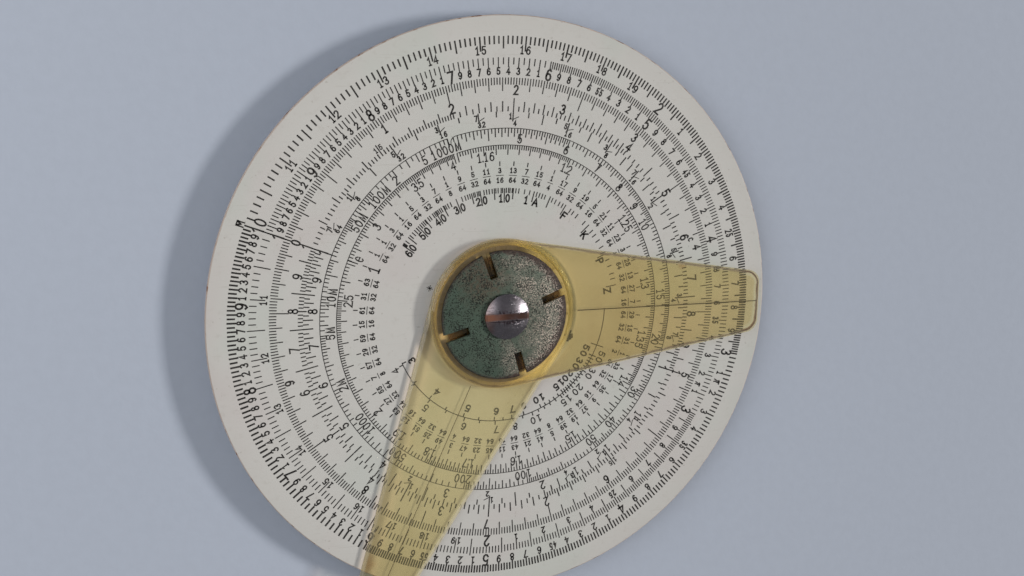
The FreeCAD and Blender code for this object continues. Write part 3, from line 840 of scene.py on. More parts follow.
# The tree that turns points into ticks: one flat block for each point, along its own radius.
def makeTickTree():
    tree = bpy.data.node_groups.new("tickMarks", "GeometryNodeTree")
    for label, side, kind, value in (
        ("Points", "INPUT", "Geometry", None), ("Depth", "INPUT", "Float", 0.03 * mm),
        ("Wobble", "INPUT", "Float", 0.05), ("Seed", "INPUT", "Int", 3),
        ("Ink", "INPUT", "Material", None), ("Ticks", "OUTPUT", "Geometry", None),
    ):
        socket = tree.interface.new_socket(label, in_out=side, socket_type="NodeSocket" + kind)
        if value is not None:
            socket.default_value = value
    given = tree.nodes.new("NodeGroupInput").outputs
    out = tree.nodes.new("NodeGroupOutput")
    position = addNode(tree, "InputPosition", family="GeometryNode").outputs[0]
    parts = partsOf(tree, position)
    turn = addNode(tree, "CombineXYZ", {"Z": compute(tree, "ARCTAN2", parts["Y"], parts["X"])})
    low, high = minus(tree, 1.0, given["Wobble"]), plus(tree, 1.0, given["Wobble"])
    size = addNode(tree, "CombineXYZ", {"Z": given["Depth"]})
    for label, axis, seedShift in (("reach", "X", 0), ("width", "Y", 1)):
        stored = addNode(tree, "InputNamedAttribute", {"Name": label}, "GeometryNode", data_type="FLOAT")
        limits = {2: low, 3: high, "Seed": plus(tree, given["Seed"], seedShift)}
        uneven = addNode(tree, "RandomValue", limits, "FunctionNode", data_type="FLOAT")
        setInput(tree, size, axis, times(tree, stored.outputs[0], uneven.outputs[1]))
    block = addNode(tree, "MeshCube", family="GeometryNode").outputs["Mesh"]
    inputs = {
        "Points": given["Points"], "Instance": block, "Rotation": turn.outputs[0], "Scale": size.outputs[0],
    }
    placed = addNode(tree, "InstanceOnPoints", inputs, "GeometryNode").outputs[0]
    real = addNode(tree, "RealizeInstances", {0: placed}, "GeometryNode").outputs[0]
    painted = addNode(tree, "SetMaterial", {"Geometry": real, "Material": given["Ink"]}, "GeometryNode")
    setInput(tree, out, "Ticks", painted.outputs[0])
    return tree


tickTree = makeTickTree()


def addPiece(name, vertices, faces, material, body):
    mesh = bpy.data.meshes.new(name)
    mesh.from_pydata(vertices, [], faces)
    mesh.materials.append(material)
    mesh.validate()
    piece = bpy.data.objects.new(name, mesh)
    bpy.context.scene.collection.objects.link(piece)
    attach(piece, body)
    return piece


def makeTicks(name, sheet, body):
    middle = sheet["level"] + sheet["side"] * (dial["inkProud"] - dial["inkSunk"]) / 2
    mesh = bpy.data.meshes.new(name + "_points")
    mesh.from_pydata([(x, y, middle) for x, y, _, _ in sheet["marks"]], [], [])
    for label, index in (("reach", 2), ("width", 3)):
        stored = mesh.attributes.new(label, "FLOAT", "POINT")
        stored.data.foreach_set("value", [m[index] for m in sheet["marks"]])
    points = bpy.data.objects.new(name + "_points", mesh)
    bpy.context.scene.collection.objects.link(points)
    modifier = points.modifiers.new("tickMarks", "NODES")
    modifier.node_group = tickTree
    depth = dial["inkProud"] + dial["inkSunk"]
    values = {"Depth": depth, "Wobble": dial["tickWobble"], "Seed": dial["tickSeed"], "Ink": inkMaterial}
    for socket in tickTree.interface.items_tree:
        if socket.name in values:
            modifier[socket.identifier] = values[socket.name]
    evaluated = points.evaluated_get(bpy.context.evaluated_depsgraph_get())
    ticks = bpy.data.meshes.new_from_object(evaluated)
    bpy.data.objects.remove(points)
    bpy.data.meshes.remove(mesh)
    ticks.name = name
    piece = bpy.data.objects.new(name, ticks)
    bpy.context.scene.collection.objects.link(piece)
    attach(piece, body)
    return piece


# What the scales measure, as dial angles in degrees.

def logAngle(value):
    return 360 * math.log10(value)


def backwardAngle(value):
    return 360 - logAngle(value)


def squareAngle(value):
    return 180 * math.log10(value)


def powerAngle(value):
    return 360 * math.log10(math.log(value))


def evenAngle(value):
    return 36 * value


def degreeAngle(value):
    return value


front = newInk(1)
thin, medium, bold, heavy = 0.0036, 0.0040, 0.0052, 0.0060


# A scale's rows of ticks: step, first and last multiple, how often each kind of tick comes, and the pen.
# A kind is the name of a length in the scale's own dictionary, and None stands for no tick.
def drawRows(sheet, angleOf, scale, rows, stretch=1):
    for step, first, last, kinds, pen in rows:
        lengths = [(every, scale[kind] if kind else 0) for every, kind in kinds]
        markRow(sheet, angleOf, step * stretch, first, last, scale["edge"], lengths, pen)


# Rows of ticks from one line: step, first and last multiple, how often a middle and a long tick comes.
def drawTurn(sheet, angleOf, line, rows, ticks):
    short, middle, long = ticks
    for step, first, last, everyMiddle, everyLong in rows:
        lengths = [(everyLong, long), (everyMiddle, middle), (1, short)]
        markRow(sheet, angleOf, step, first, last, line, lengths, thin)


# The figures between two whole numbers. The middle one has both its figures where there is room.
def inkTenths(angleOf, whole, text, narrow):
    for tenth in range(1, 10):
        both = tenth == 5 and whole < 6
        style = dict(text, width=narrow) if both else text
        inkText(front, f"{whole}5" if both else str(tenth), angleOf(whole + tenth / 10), **style)


# The outer scale, 1 to 10 clockwise.
outerScale = dict(
    edge=0.931, short=-0.0265, five=-0.043, half=-0.046, tenth=-0.030, through=-0.048, whole=-0.023,
    zeroText=dict(theta=1.6, foot=0.864, height=0.044, width=0.0235, stroke=0.0056),
    oneText=dict(theta=0.0, foot=0.864, height=0.044, width=0.0235, stroke=0.0060),
    wholeText=dict(foot=0.864, height=0.044, width=0.0240, stroke=0.0062),
    teenText=dict(foot=0.8715, height=0.0295, width=0.0170, stroke=0.0046, pitch=0.0225),
    tenthText=dict(foot=0.8715, height=0.0295, width=0.0165, stroke=0.0048),
    piText=dict(foot=0.8715, height=0.0260, width=0.0170, stroke=0.0042, slant=0.1),
    narrow=0.0125,
)
outerRows = (
    (0.01, 100, 199, ((100, "short"), (10, "through"), (5, "five"), (1, "short")), bold),
    (0.01, 200, 299, ((100, "whole"), (10, "tenth"), (5, "half"), (1, "short")), bold),
    (0.02, 150, 299, ((50, "whole"), (5, "tenth"), (1, "short")), bold),
    (0.05, 120, 199, ((20, "whole"), (2, "tenth"), (1, "short")), heavy),
)


def drawOuterScale():
    s = outerScale
    drawRows(front, logAngle, s, outerRows)
    inkText(front, "0", **s["zeroText"])
    inkText(front, "l", **s["oneText"])
    for tenth in range(11, 20):
        inkText(front, str(tenth), logAngle(tenth / 10), **s["teenText"])
    for whole in range(2, 10):
        inkText(front, str(whole), logAngle(whole), **s["wholeText"])
        inkTenths(logAngle, whole, s["tenthText"], s["narrow"])
    inkText(front, "p", logAngle(math.pi), **s["piText"])


# The same scale running the other way, inside it.
inverseScale = dict(
    edge=0.861, short=-0.024, tenth=-0.033, through=-0.052, whole=-0.023, raisedEdge=0.866, raised=-0.058,
    wholeText=dict(foot=0.795, height=0.043, width=0.0230, stroke=0.0062),
    teenText=dict(foot=0.803, height=0.026, width=0.0150, stroke=0.0044, pitch=0.0205),
    tenthText=dict(foot=0.803, height=0.026, width=0.0150, stroke=0.0047),
    piText=dict(foot=0.803, height=0.023, width=0.0150, stroke=0.0038, slant=0.1),
    narrow=0.0118,
)
inverseFineRows = (
    (0.01, 101, 199, ((10, "through"), (5, None), (1, "short")), thin),
    (0.01, 200, 299, ((100, "whole"), (10, "tenth"), (5, None), (1, "short")), thin),
)
inverseCoarseRows = (
    (0.02, 150, 299, ((50, "whole"), (5, "tenth"), (1, "short")), thin),
    (0.05, 120, 200, ((20, "whole"), (2, "tenth"), (1, "short")), thin),
)


def drawInverseScale():
    s = inverseScale
    drawRows(front, backwardAngle, s, inverseFineRows)
    markRow(front, backwardAngle, 0.05, 21, 59, s["raisedEdge"], [(2, 0), (1, s["raised"])], thin)
    drawRows(front, backwardAngle, s, inverseCoarseRows)
    for tenth in range(11, 20):
        inkText(front, str(tenth), backwardAngle(tenth / 10), **s["teenText"])
    inkText(front, "l", backwardAngle(1) % 360, **s["wholeText"])
    for whole in range(2, 10):
        inkText(front, str(whole), backwardAngle(whole), **s["wholeText"])
        inkTenths(backwardAngle, whole, s["tenthText"], s["narrow"])
    inkText(front, "p", backwardAngle(math.pi), **s["piText"])


# The even scale of logarithms.
evenScale = dict(
    edge=0.795, short=-0.024, tenth=-0.045, half=-0.065, whole=-0.0235,
    text=dict(foot=0.737, height=0.0345, width=0.0190, stroke=0.0054),
)
evenRows = ((0.02, 0, 499, ((50, "whole"), (25, "half"), (5, "tenth"), (1, "short")), thin),)


def drawEvenScale():
    drawRows(front, evenAngle, evenScale, evenRows)
    for number in range(10):
        inkText(front, str(number), evenAngle(number), **evenScale["text"])


# The scale of squares, two turns of figures in one round, with inches and their parts inside it.
squareScale = dict(
    edge=0.683, short=0.017, tenth=0.033, half=0.044, quarter=0.046, whole=0.016,
    oneText=dict(theta=0.0, foot=0.699, height=0.036, width=0.0210, stroke=0.0052),
    fifteenText=dict(foot=0.703, height=0.020, width=0.0120, stroke=0.0036, pitch=0.0200),
    letterText=dict(theta=141.4, foot=0.727, height=0.022, width=0.0155, stroke=0.0046),
    turns=(  # what a turn starts at, its first figure, and its figures' sizes
        (1, 2, dict(foot=0.699, height=0.036, width=0.0210, stroke=0.0058)),
        (10, 1, dict(foot=0.699, height=0.036, width=0.0190, stroke=0.0048)),
    ),
)
squareRows = (
    (0.02, 50, 99, ((50, "whole"), (25, "quarter"), (5, "tenth"), (1, "short")), medium),
    (0.05, 40, 79, ((20, "whole"), (10, "half"), (2, "tenth"), (1, "short")), medium),
    (0.1, 40, 99, ((10, "whole"), (5, "half"), (1, "short")), medium),
)


def drawSquareScale():
    s = squareScale
    inkText(front, "l", **s["oneText"])
    for start, firstFigure, text in s["turns"]:
        drawRows(front, squareAngle, s, squareRows, start)
        for number in range(firstFigure, 10):
            inkText(front, str(number), squareAngle(number * start), **text)
        inkText(front, "15", squareAngle(1.5 * start), **s["fifteenText"])
    inkText(front, "c", **s["letterText"])


# An inch stands where the second turn of the squares starts.
inchScale = dict(
    inch=10.0, edge=0.683, short=-0.019, long=-0.033, whole=-0.011, through=-0.031, index=-0.010,
    upperText=dict(foot=0.6560, height=0.022, width=0.0122, stroke=0.0042, pitch=0.0150),
    slashText=dict(foot=0.6550, height=0.012, width=0.0220, stroke=0.0026),
    lowerText=dict(foot=0.6340, height=0.021, width=0.0122, stroke=0.0042, pitch=0.0150),
    oneAndText=dict(foot=0.6430, height=0.033, width=0.0150, stroke=0.0042),
    wholeText=dict(foot=0.6350, height=0.034, width=0.0190, stroke=0.0048),
    oneText=dict(foot=0.6400, height=0.036, width=0.0205, stroke=0.0056),
    upperShift=-0.75, slashShift=0.85, lowerShift=0.75, oneAndShift=-1.1, afterOneShift=1.35,
)
inchRows = (  # parts in an inch, the first and last part, and how often each kind of tick comes
    (64, 7, 31, ((2, "long"), (9, "long"), (1, "short"))),
    (32, 16, 31, ((2, "long"), (1, "short"))),
    (16, 16, 31, ((16, "whole"), (4, "through"), (2, "long"), (1, "short"))),
    (8, 16, 79, ((8, "whole"), (2, "long"), (1, "short"))),
)
inchFractions = (
    (7, 64), (1, 8), (5, 32), (3, 16), (7, 32), (1, 4), (5, 16), (3, 8), (7, 16), (1, 2), (5, 8), (3, 4),
    (7, 8),
)


# A fraction leaning on its stroke: the upper part, then the slash, then the lower part.
def inkSlanted(theta, upper, lower):
    s = inchScale
    inkText(front, str(upper), theta + s["upperShift"], **s["upperText"])
    inkText(front, "/", theta + s["slashShift"], **s["slashText"])
    inkText(front, str(lower), theta + s["lowerShift"], **s["lowerText"])


def drawInchScale():
    s = inchScale
    inch = s["inch"]
    rows = [(inch / parts, first, last, kinds, medium) for parts, first, last, kinds in inchRows]
    drawRows(front, squareAngle, s, rows)
    for upper, lower in inchFractions:
        inkSlanted(squareAngle(inch * upper / lower), upper, lower)
    for upper, lower in ((1, 4), (1, 2), (3, 4)):
        theta = squareAngle(inch * (1 + upper / lower))
        inkText(front, "1", theta + s["oneAndShift"], **s["oneAndText"])
        inkSlanted(theta + s["afterOneShift"], upper, lower)
    for whole in (2, 3):
        inkSlanted(squareAngle(inch * (whole + 0.5)), 1, 2)
    for whole in range(2, 10):
        inkText(front, str(whole), squareAngle(inch * whole), **s["wholeText"])
    for theta in (0.0, 180.0):
        mark(front, theta, s["edge"], s["edge"] + s["index"], medium)
        inkText(front, "l", theta, **s["oneText"])


# The scale of powers: an outer and an inner turn of one spiral, each under its own line. The gaps in the
# lines are where the spiral changes over, with a short arc that joins the outer line to its last tick.
powerScale = dict(
    outerLine=0.6276, innerLine=0.5714, line=0.0024,
    outerTicks=(-0.0165, -0.029, -0.040), innerTicks=(-0.015, -0.032, -0.036),
    outerSpan=(53.4, 410.6), innerSpan=(52.4, 411.3),
    startTick=dict(theta=0, start=0.5714, end=0.535), endTick=dict(theta=50.6, start=0.6276, end=0.607),
    joinTurn=2.0, joinHeight=0.018, joinSteps=(0, 0.4, 0.8, 1.2, 1.57),
    outerText=dict(foot=0.5770, height=0.0325, width=0.0180, stroke=0.0042, pitch=0.0212),
    innerText=dict(foot=0.5195, height=0.0325, width=0.0180, stroke=0.0042, pitch=0.0208),
    outerFigure=2.0, innerFigure=2.1,  # how many degrees a figure takes
)
powerRows = (  # as drawTurn has them
    (0.05, 81, 119, 2, 10), (0.1, 60, 99, 5, 10), (0.2, 50, 99, 5, 1000), (0.5, 40, 59, 2, 10),
    (1, 30, 49, 5, 1000), (2, 25, 49, 5, 1000), (5, 20, 39, 2, 10), (20, 10, 24, 5, 1000),
    (50, 10, 19, 2, 1000), (100, 10, 19, 5, 1000), (200, 10, 24, 5, 1000), (500, 10, 19, 2, 1000),
    (1000, 10, 19, 1000, 5), (2000, 10, 24, 5, 1000), (5000, 10, 19, 2, 1000), (20000, 5, 9, 1000, 1000),
    (50000, 4, 9, 2, 1000), (100000, 5, 10, 2, 1000),
)
rootRows = (
    (0.001, 1150, 1199, 5, 1000), (0.002, 600, 699, 5, 10000), (0.005, 280, 359, 2, 10),
    (0.01, 180, 249, 5, 10), (0.02, 125, 200, 5, 1000),
)
powerLabels = (  # the text, the value it stands at, and how far it is moved on, in figures
    ("5", 5, 0), ("6", 6, 0), ("7", 7, 0), ("8", 8, 0), ("9", 9, 0), ("10", 10, 0), ("15", 15, 0),
    ("20", 20, 0), ("30", 30, 0), ("40", 40, 0), ("50", 50, 0), ("100", 100, 0.6), ("200", 200, 0.5),
    ("500", 500, 0.5), ("1000", 1e3, 0.1), ("2M", 2e3, 0.3), ("5M", 5e3, 0.3), ("10M", 1e4, -0.1),
    ("50M", 5e4, 0.1), ("100M", 1e5, 0.4), ("2", 2e5, -0.5), ("5", 5e5, -0.5), ("1000M", 1e6, -0.7),
)
rootLabels = (
    ("e", math.e, 0.8), ("3", 3, 0), ("3.5", 3.5, 0), ("4", 4, -0.6), ("1.16", 1.16, 0.2), ("1.2", 1.2, 0),
    ("1.25", 1.25, 0.3), ("1.3", 1.3, 0), ("1.35", 1.35, 0.3), ("1.4", 1.4, 0), ("1.5", 1.5, 0),
    ("1.6", 1.6, 0), ("1.7", 1.7, 0), ("1.8", 1.8, 0), ("1.9", 1.9, 0), ("2", 2, 0), ("2.5", 2.5, 0),
)


def drawPowerScale():
    s = powerScale
    drawTurn(front, powerAngle, s["outerLine"], powerRows, s["outerTicks"])
    drawTurn(front, powerAngle, s["innerLine"], rootRows, s["innerTicks"])
    mark(front, width=thin, **s["startTick"])
    mark(front, width=thin, **s["endTick"])
    for text, value, shift in powerLabels:
        inkText(front, text, powerAngle(value) + shift * s["outerFigure"], **s["outerText"])
    for text, value, shift in rootLabels:
        inkText(front, text, powerAngle(value) + shift * s["innerFigure"], **s["innerText"])
    inkCircle(front, s["outerLine"], *s["outerSpan"], s["line"])
    inkCircle(front, s["innerLine"], *s["innerSpan"], s["line"])
    joinFrom, joinCentre = s["outerSpan"][0], s["outerLine"] - s["joinHeight"]
    join = [
        polar(front, joinFrom - s["joinTurn"] * math.sin(a), joinCentre + s["joinHeight"] * math.cos(a))
        for a in s["joinSteps"]
    ]
    inkStroke(front, join, s["line"] * dial["radius"])


# Sixty-fourths of an inch as stacked fractions.
fractionRing = dict(
    tickOuter=0.517, tickInner=0.5015, upper=0.4765, bar=0.4700, lower=0.4440, barPen=0.0022,
    barReaches={1: 1.15, 2: 1.55},  # half a bar's degrees, for one and for two figures below it
    text=dict(height=0.0195, width=0.0122, stroke=0.0038, pitch=0.0138),
    oneText=dict(theta=-0.2, foot=0.4550, height=0.042, width=0.0260, stroke=0.0052),
)


def drawFractionRing():
    s = fractionRing
    mark(front, 0, s["tickOuter"], s["tickInner"], thin)
    inkText(front, "1", **s["oneText"])
    for count in range(1, 64):
        theta = count * 360 / 64
        mark(front, theta, s["tickOuter"], s["tickInner"], thin)
        shared = math.gcd(count, 64)
        upper, lower = str(count // shared), str(64 // shared)
        inkText(front, upper, theta, s["upper"], **s["text"])
        inkText(front, lower, theta, s["lower"], **s["text"])
        reach = s["barReaches"][len(lower)]
        inkCircle(front, s["bar"], theta - reach, theta + reach, s["barPen"])


# Drill sizes by number and by letter, at their diameters.
numberDrills = (  # thousandths of an inch, from number 60 to number 1
    40, 41, 42, 43, 46.5, 52, 55, 59.5, 63.5, 67, 70, 73, 76, 78.5, 81, 82, 86, 89, 93.5, 96, 98, 99.5,
    101.5, 104, 106.5, 110, 111, 113, 116, 120, 128.5, 136, 140.5, 144, 147, 149.5, 152, 154, 157, 159,
    161, 166, 169.5, 173, 177, 180, 182, 185, 189, 191, 193.5, 196, 199, 201, 204, 205.5, 209, 213, 221,
    228,
)
letterDrills = (  # thousandths of an inch, from A to Z
    234, 238, 242, 246, 250, 257, 261, 266, 272, 277, 281, 290, 295, 302, 316, 323, 332, 339, 348, 358,
    368, 377, 386, 397, 404, 413,
)
drillRing = dict(
    outer=0.4275, inner=0.410, long=0.389, through=0.376,
    numberText=dict(foot=0.3775, height=0.0300, width=0.0175, stroke=0.0053, pitch=0.0240),
    letterText=dict(foot=0.3775, height=0.0300, width=0.0225, stroke=0.0060),
    named={"A": 0, "F": 10, "K": 15, "P": 20, "Z": 25}, letterShift=2.0, oneShift=-0.9,
)


def drillAngle(size):
    return 0.36 * size


def drawDrillRing():
    s = drillRing
    for i, size in enumerate(numberDrills):
        number = 60 - i
        inner = s["through"] if number % 10 == 0 else s["long"] if number % 5 == 0 else s["inner"]
        mark(front, drillAngle(size), s["outer"], inner, thin)
        if number % 10 == 0:
            inkText(front, str(number), drillAngle(size), **s["numberText"])
    inkText(front, "1", drillAngle(numberDrills[-1]) + s["oneShift"], **s["numberText"])
    for i, size in enumerate(letterDrills):
        mark(front, drillAngle(size), s["outer"], s["long"] if i % 5 == 0 else s["inner"], thin)
    for letter, i in s["named"].items():
        inkText(front, letter, drillAngle(letterDrills[i]) + s["letterShift"], **s["letterText"])


# Screw threads to the inch, above and below a short arc.
threadArc = dict(
    line=0.3800, start=159.9, end=315.2, pen=0.0030, tick=0.0140, partShare=0.75,
    textShift=-0.4, tickShift=0.5, gate=dict(theta=179.84, start=0.408, end=0.354),
)
threadRows = (  # the side of the line, its figures' sizes, and each count of threads with its angle
    (
        1, dict(foot=0.398, height=0.0270, width=0.0185, stroke=0.0042, pitch=0.0235),
        (
            (50, 185.2), (30, 194.6), (20, 204.7), (15, 212.3), (10, 230.0), (8, 241.0), (7, 250.8),
            (6, 267.8), (5, 289.6), (4, 313.6),
        ),
    ),
    (
        -1, dict(foot=0.333, height=0.0270, width=0.0200, stroke=0.0054, pitch=0.0235),
        (
            (50, 185.4), (30, 194.0), (20, 203.2), (15, 210.4), (10, 224.6), (9, 234.6), (7, 241.6),
            (6, 251.4), (5, 268.8), (4, 290.3), (3, 314.4),
        ),
    ),
)


# How many ticks stand between one count of threads and the next.
def ticksBetween(count, nextCount):
    if count > 15:
        return 4
    if count < 8 and count != nextCount:
        return max(count - nextCount - 1, 1)
    return max(count - nextCount - 1, 0)


def drawThreadArc():
    s = threadArc
    inkCircle(front, s["line"], s["start"], s["end"], s["pen"])
    mark(front, width=thin, **s["gate"])
    for side, text, rows in threadRows:
        for (count, theta), (nextCount, nextTheta) in zip(rows, rows[1:] + rows[-1:]):
            inkText(front, str(count), theta + s["textShift"], **text)
            mark(front, theta + s["tickShift"], s["line"], s["line"] + side * s["tick"], medium)
            extra = ticksBetween(count, nextCount)
            for k in range(1, extra + 1):
                share = k / (extra + 1)
                middle = theta + (nextTheta - theta) * share + s["tickShift"]
                mark(front, middle, s["line"], s["line"] + side * s["tick"] * s["partShare"], medium)


# The index: a long hairline, broken by the figures on it, under a small bracket at the rim.
indexMark = dict(
    breaks=((0.864, 0.838), (0.795, 0.7715), (0.737, 0.7350), (0.699, 0.6760), (0.640, 0.6276)),
    bracketOuter=0.957, bracketInner=0.933, halfWidth=0.0074, bracketPen=0.0044,
    notch=((-0.35704, 0.954), (0, 0.944), (0.35704, 0.954)), notchPen=0.0062,
)
# A star at each end of the index line, near the hub: angle, place, size and how thick its pen is.
starMarks = dict(
    stars=((0, 0.272, 0.9, 0.62), (180, 0.266, 1.35, 2.9)),
    strokes=((0.1, 0.011, 0.0040), (0.9, 0.009, 0.0028), (2.2, 0.009, 0.0028)),  # turn, reach and pen
    outwardReach=0.013, outwardPen=0.0030,
)


def drawIndexMark():
    s = indexMark
    for start, end in s["breaks"]:
        mark(front, 0, start, end, medium)
    inner, outer = s["bracketInner"], s["bracketOuter"]
    corners = ((-1, inner), (-1, outer), (1, outer), (1, inner))
    bracket = [
        polar(front, math.degrees(side * s["halfWidth"] / share), share) for side, share in corners
    ]
    inkStroke(front, bracket, s["bracketPen"] * dial["radius"])
    notch = [polar(front, theta, share) for theta, share in s["notch"]]
    inkStroke(front, notch, s["notchPen"] * dial["radius"])


def drawStars():
    s = starMarks
    for theta, place, scale, heft in s["stars"]:
        half = s["outwardReach"] * scale
        mark(front, theta, place - half, place + half, s["outwardPen"] * heft)
        centre = Vector(polar(front, theta, place))
        for turn, reach, pen in s["strokes"]:
            across = Matrix.Rotation(turn, 2) @ Vector((-centre.y, centre.x)).normalized()
            across *= reach * scale * dial["radius"]
            inkStroke(front, [centre - across, centre + across], pen * heft * dial["radius"])


for draw in (
    drawOuterScale, drawInverseScale, drawEvenScale, drawSquareScale, drawInchScale, drawPowerScale,
    drawFractionRing, drawDrillRing, drawThreadArc, drawIndexMark, drawStars,
):
    draw()
    print(draw.__name__, len(front["marks"]), "ticks,", len(front["faces"]), "faces of figures")


# The back: degrees all round, with sines and tangents on turns inside them.
rear = newInk(-1)
degreeScale = dict(
    edge=0.935, ten=-0.046, five=-0.040, one=-0.030, half=-0.018,
    text=dict(foot=0.849, height=0.034, width=0.0190, stroke=0.0040),
)
degreeRows = ((0.5, 0, 719, ((20, "ten"), (10, "five"), (2, "one"), (1, "half")), medium),)
angleScales = dict(
    ticks=(-0.018, -0.028, -0.036), line=0.0026, footBelow=0.074,
    text=dict(height=0.032, width=0.0180, stroke=0.0036), circles=(0.545, 0.530), circlePen=0.0024,
)


def sineAngle(value):
    return 360 * (math.log10(math.sin(math.radians(value))) + 1)


def tangentAngle(value):
    return 360 * (math.log10(math.tan(math.radians(value))) + 1)


angleTurns = (  # the law, the line's place, rows as drawTurn has them, and the figures
    (
        sineAngle, 0.800,
        ((0.1, 58, 149, 5, 10), (0.2, 75, 149, 5, 5), (0.5, 60, 119, 2, 10), (1, 60, 80, 5, 10)),
        (6, 7, 8, 9, 10, 12, 15, 20, 25, 30, 40, 50, 60, 90),
    ),
    (
        tangentAngle, 0.665,
        ((0.1, 58, 149, 5, 10), (0.2, 75, 149, 5, 5), (0.5, 60, 90, 2, 10)),
        (6, 7, 8, 9, 10, 12, 15, 20, 25, 30, 35, 40, 45),
    ),
)


def drawRear():
    drawRows(rear, degreeAngle, degreeScale, degreeRows)
    for number in range(0, 360, 10):
        inkText(rear, str(number), number, **degreeScale["text"])
    s = angleScales
    for angleOf, edge, rows, labels in angleTurns:
        inkCircle(rear, edge, 0, 360, s["line"])
        drawTurn(rear, angleOf, edge, rows, s["ticks"])
        for number in labels:
            inkText(rear, str(number), angleOf(number), edge - s["footBelow"], **s["text"])
    for share in s["circles"]:
        inkCircle(rear, share, 0, 360, s["circlePen"])


drawRear()
for sheet, name in ((front, "front"), (rear, "rear")):
    makeTicks(f"{name}_scale_ticks", sheet, "disc")
    addPiece(f"{name}_scale_figures", sheet["vertices"], sheet["faces"], inkMaterial, "disc")
    print(name, "print:", len(sheet["marks"]), "ticks and", len(sheet["faces"]), "faces of figures")


# Each cursor's hairline: ink in the groove that is cut on the side that faces the disc.
hairline = dict(start=13.9 * mm, short=0.35 * mm, deep=0.06 * mm, sections=12)
hairlines = (  # cursor, line width, whether the groove is on its upper face, and the ink's colour
    ("long_cursor", 0.11 * mm, False, (0.100, 0.075, 0.040, 1)),
    ("short_cursor", 0.16 * mm, False, (0.035, 0.025, 0.015, 1)),
    ("rear_cursor", 0.13 * mm, True, (0.040, 0.030, 0.020, 1)),
)


def makeHairlineInk(cursor, colour):
    material, tree, surface, _, place = newMaterial("hairline_ink_" + cursor)
    patchy = fade(tree, grain(tree, place, 240.0, 3.0), 0.35, 0.7, 0, 0.35)
    setInput(tree, surface, "Base Color", blendColour(tree, patchy, colour, ink["faded"]))
    setInput(tree, surface, "Roughness", fade(tree, patchy, 0, 0.35, 0.5, 0.7))
    return material


def addHairline(cursor, width, above, colour):
    sheet = cursorSheets[cursor]
    angle, reach = sheet["angle"], sheet["reach"]
    low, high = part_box(cursor)
    level = high.z if above else low.z
    inside = level - hairline["deep"] if above else level + hairline["deep"]
    bottom, top = min(level, inside), max(level, inside)
    turn = Matrix.Rotation(math.radians(angle), 3, "Z")
    half = width / 2
    length = reach - hairline["short"] - hairline["start"]
    sections = hairline["sections"]
    vertices = []
    for i in range(sections + 1):
        along = hairline["start"] + length * i / sections
        for side, z in ((-half, bottom), (half, bottom), (half, top), (-half, top)):
            vertices.append(turn @ Vector((along, side, z)))
    faces = [(3, 2, 1, 0), tuple(4 * sections + k for k in range(4))]
    for i in range(sections):
        for k in range(4):
            a, b = 4 * i + k, 4 * i + (k + 1) % 4
            faces.append((a, b, b + 4, a + 4))
    return addPiece(f"{cursor}_hairline", vertices, faces, makeHairlineInk(cursor, colour), cursor)


for row in hairlines:
    addHairline(*row)
print("hairlines:", len(hairlines))


# The stage: a pale floor, a key from the right, and a broad fill near the left.
stage = dict(
    floorHalf=1.6, floorColour=(0.54, 0.59, 0.69, 1), floorGrain=0.05 * mm,
    key=dict(place=(2.11, 0.10, 1.21), wide=0.62, high=0.36, power=33.0, colour=(1.0, 0.975, 0.94)),
    fill=dict(place=(-0.38, 0.14, 0.36), wide=0.60, high=0.60, power=1.32, colour=(0.97, 0.985, 1.0)),
    sky=(0.87, 0.89, 0.93), skyStrength=0.18,
)


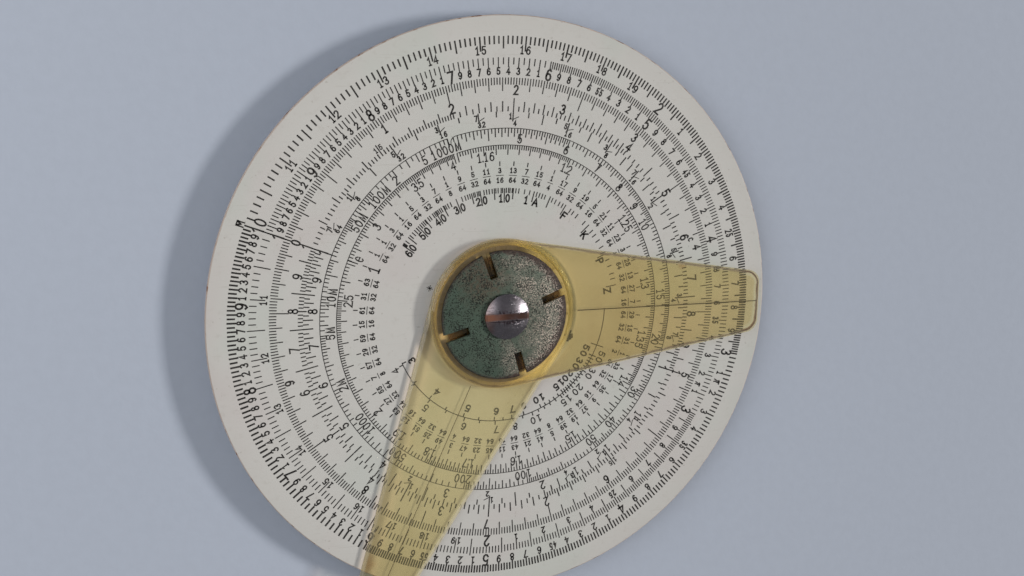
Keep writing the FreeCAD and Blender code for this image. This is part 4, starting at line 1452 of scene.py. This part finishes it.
def makeFloor():
    material, tree, surface, _, place = newMaterial("pale_floor")
    paper = grain(tree, place, 500.0, 4.0)
    wide = grain(tree, place, 5.0, 2.0)
    shade = plus(tree, fade(tree, paper, 0.3, 0.7, -0.01, 0.01), fade(tree, wide, 0.3, 0.7, 0.97, 1.0))
    tone = addNode(tree, "CombineColor", {0: shade, 1: shade, 2: shade}).outputs[0]
    setInput(tree, surface, "Base Color", blendColour(tree, 1.0, stage["floorColour"], tone, "MULTIPLY"))
    surface.inputs["Roughness"].default_value = 0.85
    addBump(tree, surface, paper, stage["floorGrain"])
    half = stage["floorHalf"]
    mesh = bpy.data.meshes.new("floor")
    corners = [(-half, -half, 0), (half, -half, 0), (half, half, 0), (-half, half, 0)]
    mesh.from_pydata(corners, [], [(0, 1, 2, 3)])
    mesh.materials.append(material)
    floor = bpy.data.objects.new("floor", mesh)
    bpy.context.scene.collection.objects.link(floor)


def addSoftbox(name, place, wide, high, power, colour):
    lamp = bpy.data.lights.new(name, "AREA")
    lamp.shape = "ELLIPSE"
    lamp.size = wide
    lamp.size_y = high
    lamp.energy = power
    lamp.color = colour
    holder = bpy.data.objects.new(name, lamp)
    holder.location = place
    holder.rotation_euler = (-Vector(place)).to_track_quat("-Z", "Y").to_euler()
    holder.visible_transmission = False
    bpy.context.scene.collection.objects.link(holder)


def makeSky():
    world = bpy.data.worlds.new("studio")
    world.use_nodes = True
    background = world.node_tree.nodes["Background"]
    background.inputs["Color"].default_value = (*stage["sky"], 1)
    background.inputs["Strength"].default_value = stage["skyStrength"]
    bpy.context.scene.world = world


makeFloor()
for name in ("key", "fill"):
    addSoftbox(name, **stage[name])
makeSky()
bpy.context.scene.view_settings.view_transform = "Standard"


# The camera stands where the photograph was taken from.
camera = dict(
    place=(-0.090930, 0.059907, 0.259378),
    aim=(0.001975, 0.004302, 0.003794),
    up=(0.0462, 0.9795, -0.1963),
    lens=55.66,
    sensor=36.0,
)


def makeCamera():
    data = bpy.data.cameras.new("camera")
    data.lens = camera["lens"]
    data.sensor_width = camera["sensor"]
    data.sensor_fit = "HORIZONTAL"
    data.clip_start = 0.01
    data.clip_end = 20.0
    look = (Vector(camera["aim"]) - Vector(camera["place"])).normalized()
    right = look.cross(Vector(camera["up"])).normalized()
    up = right.cross(look)
    holder = bpy.data.objects.new("camera", data)
    turned = Matrix((right, up, -look)).transposed().to_4x4()
    holder.matrix_world = Matrix.Translation(camera["place"]) @ turned
    bpy.context.scene.collection.objects.link(holder)
    bpy.context.scene.camera = holder


makeCamera()
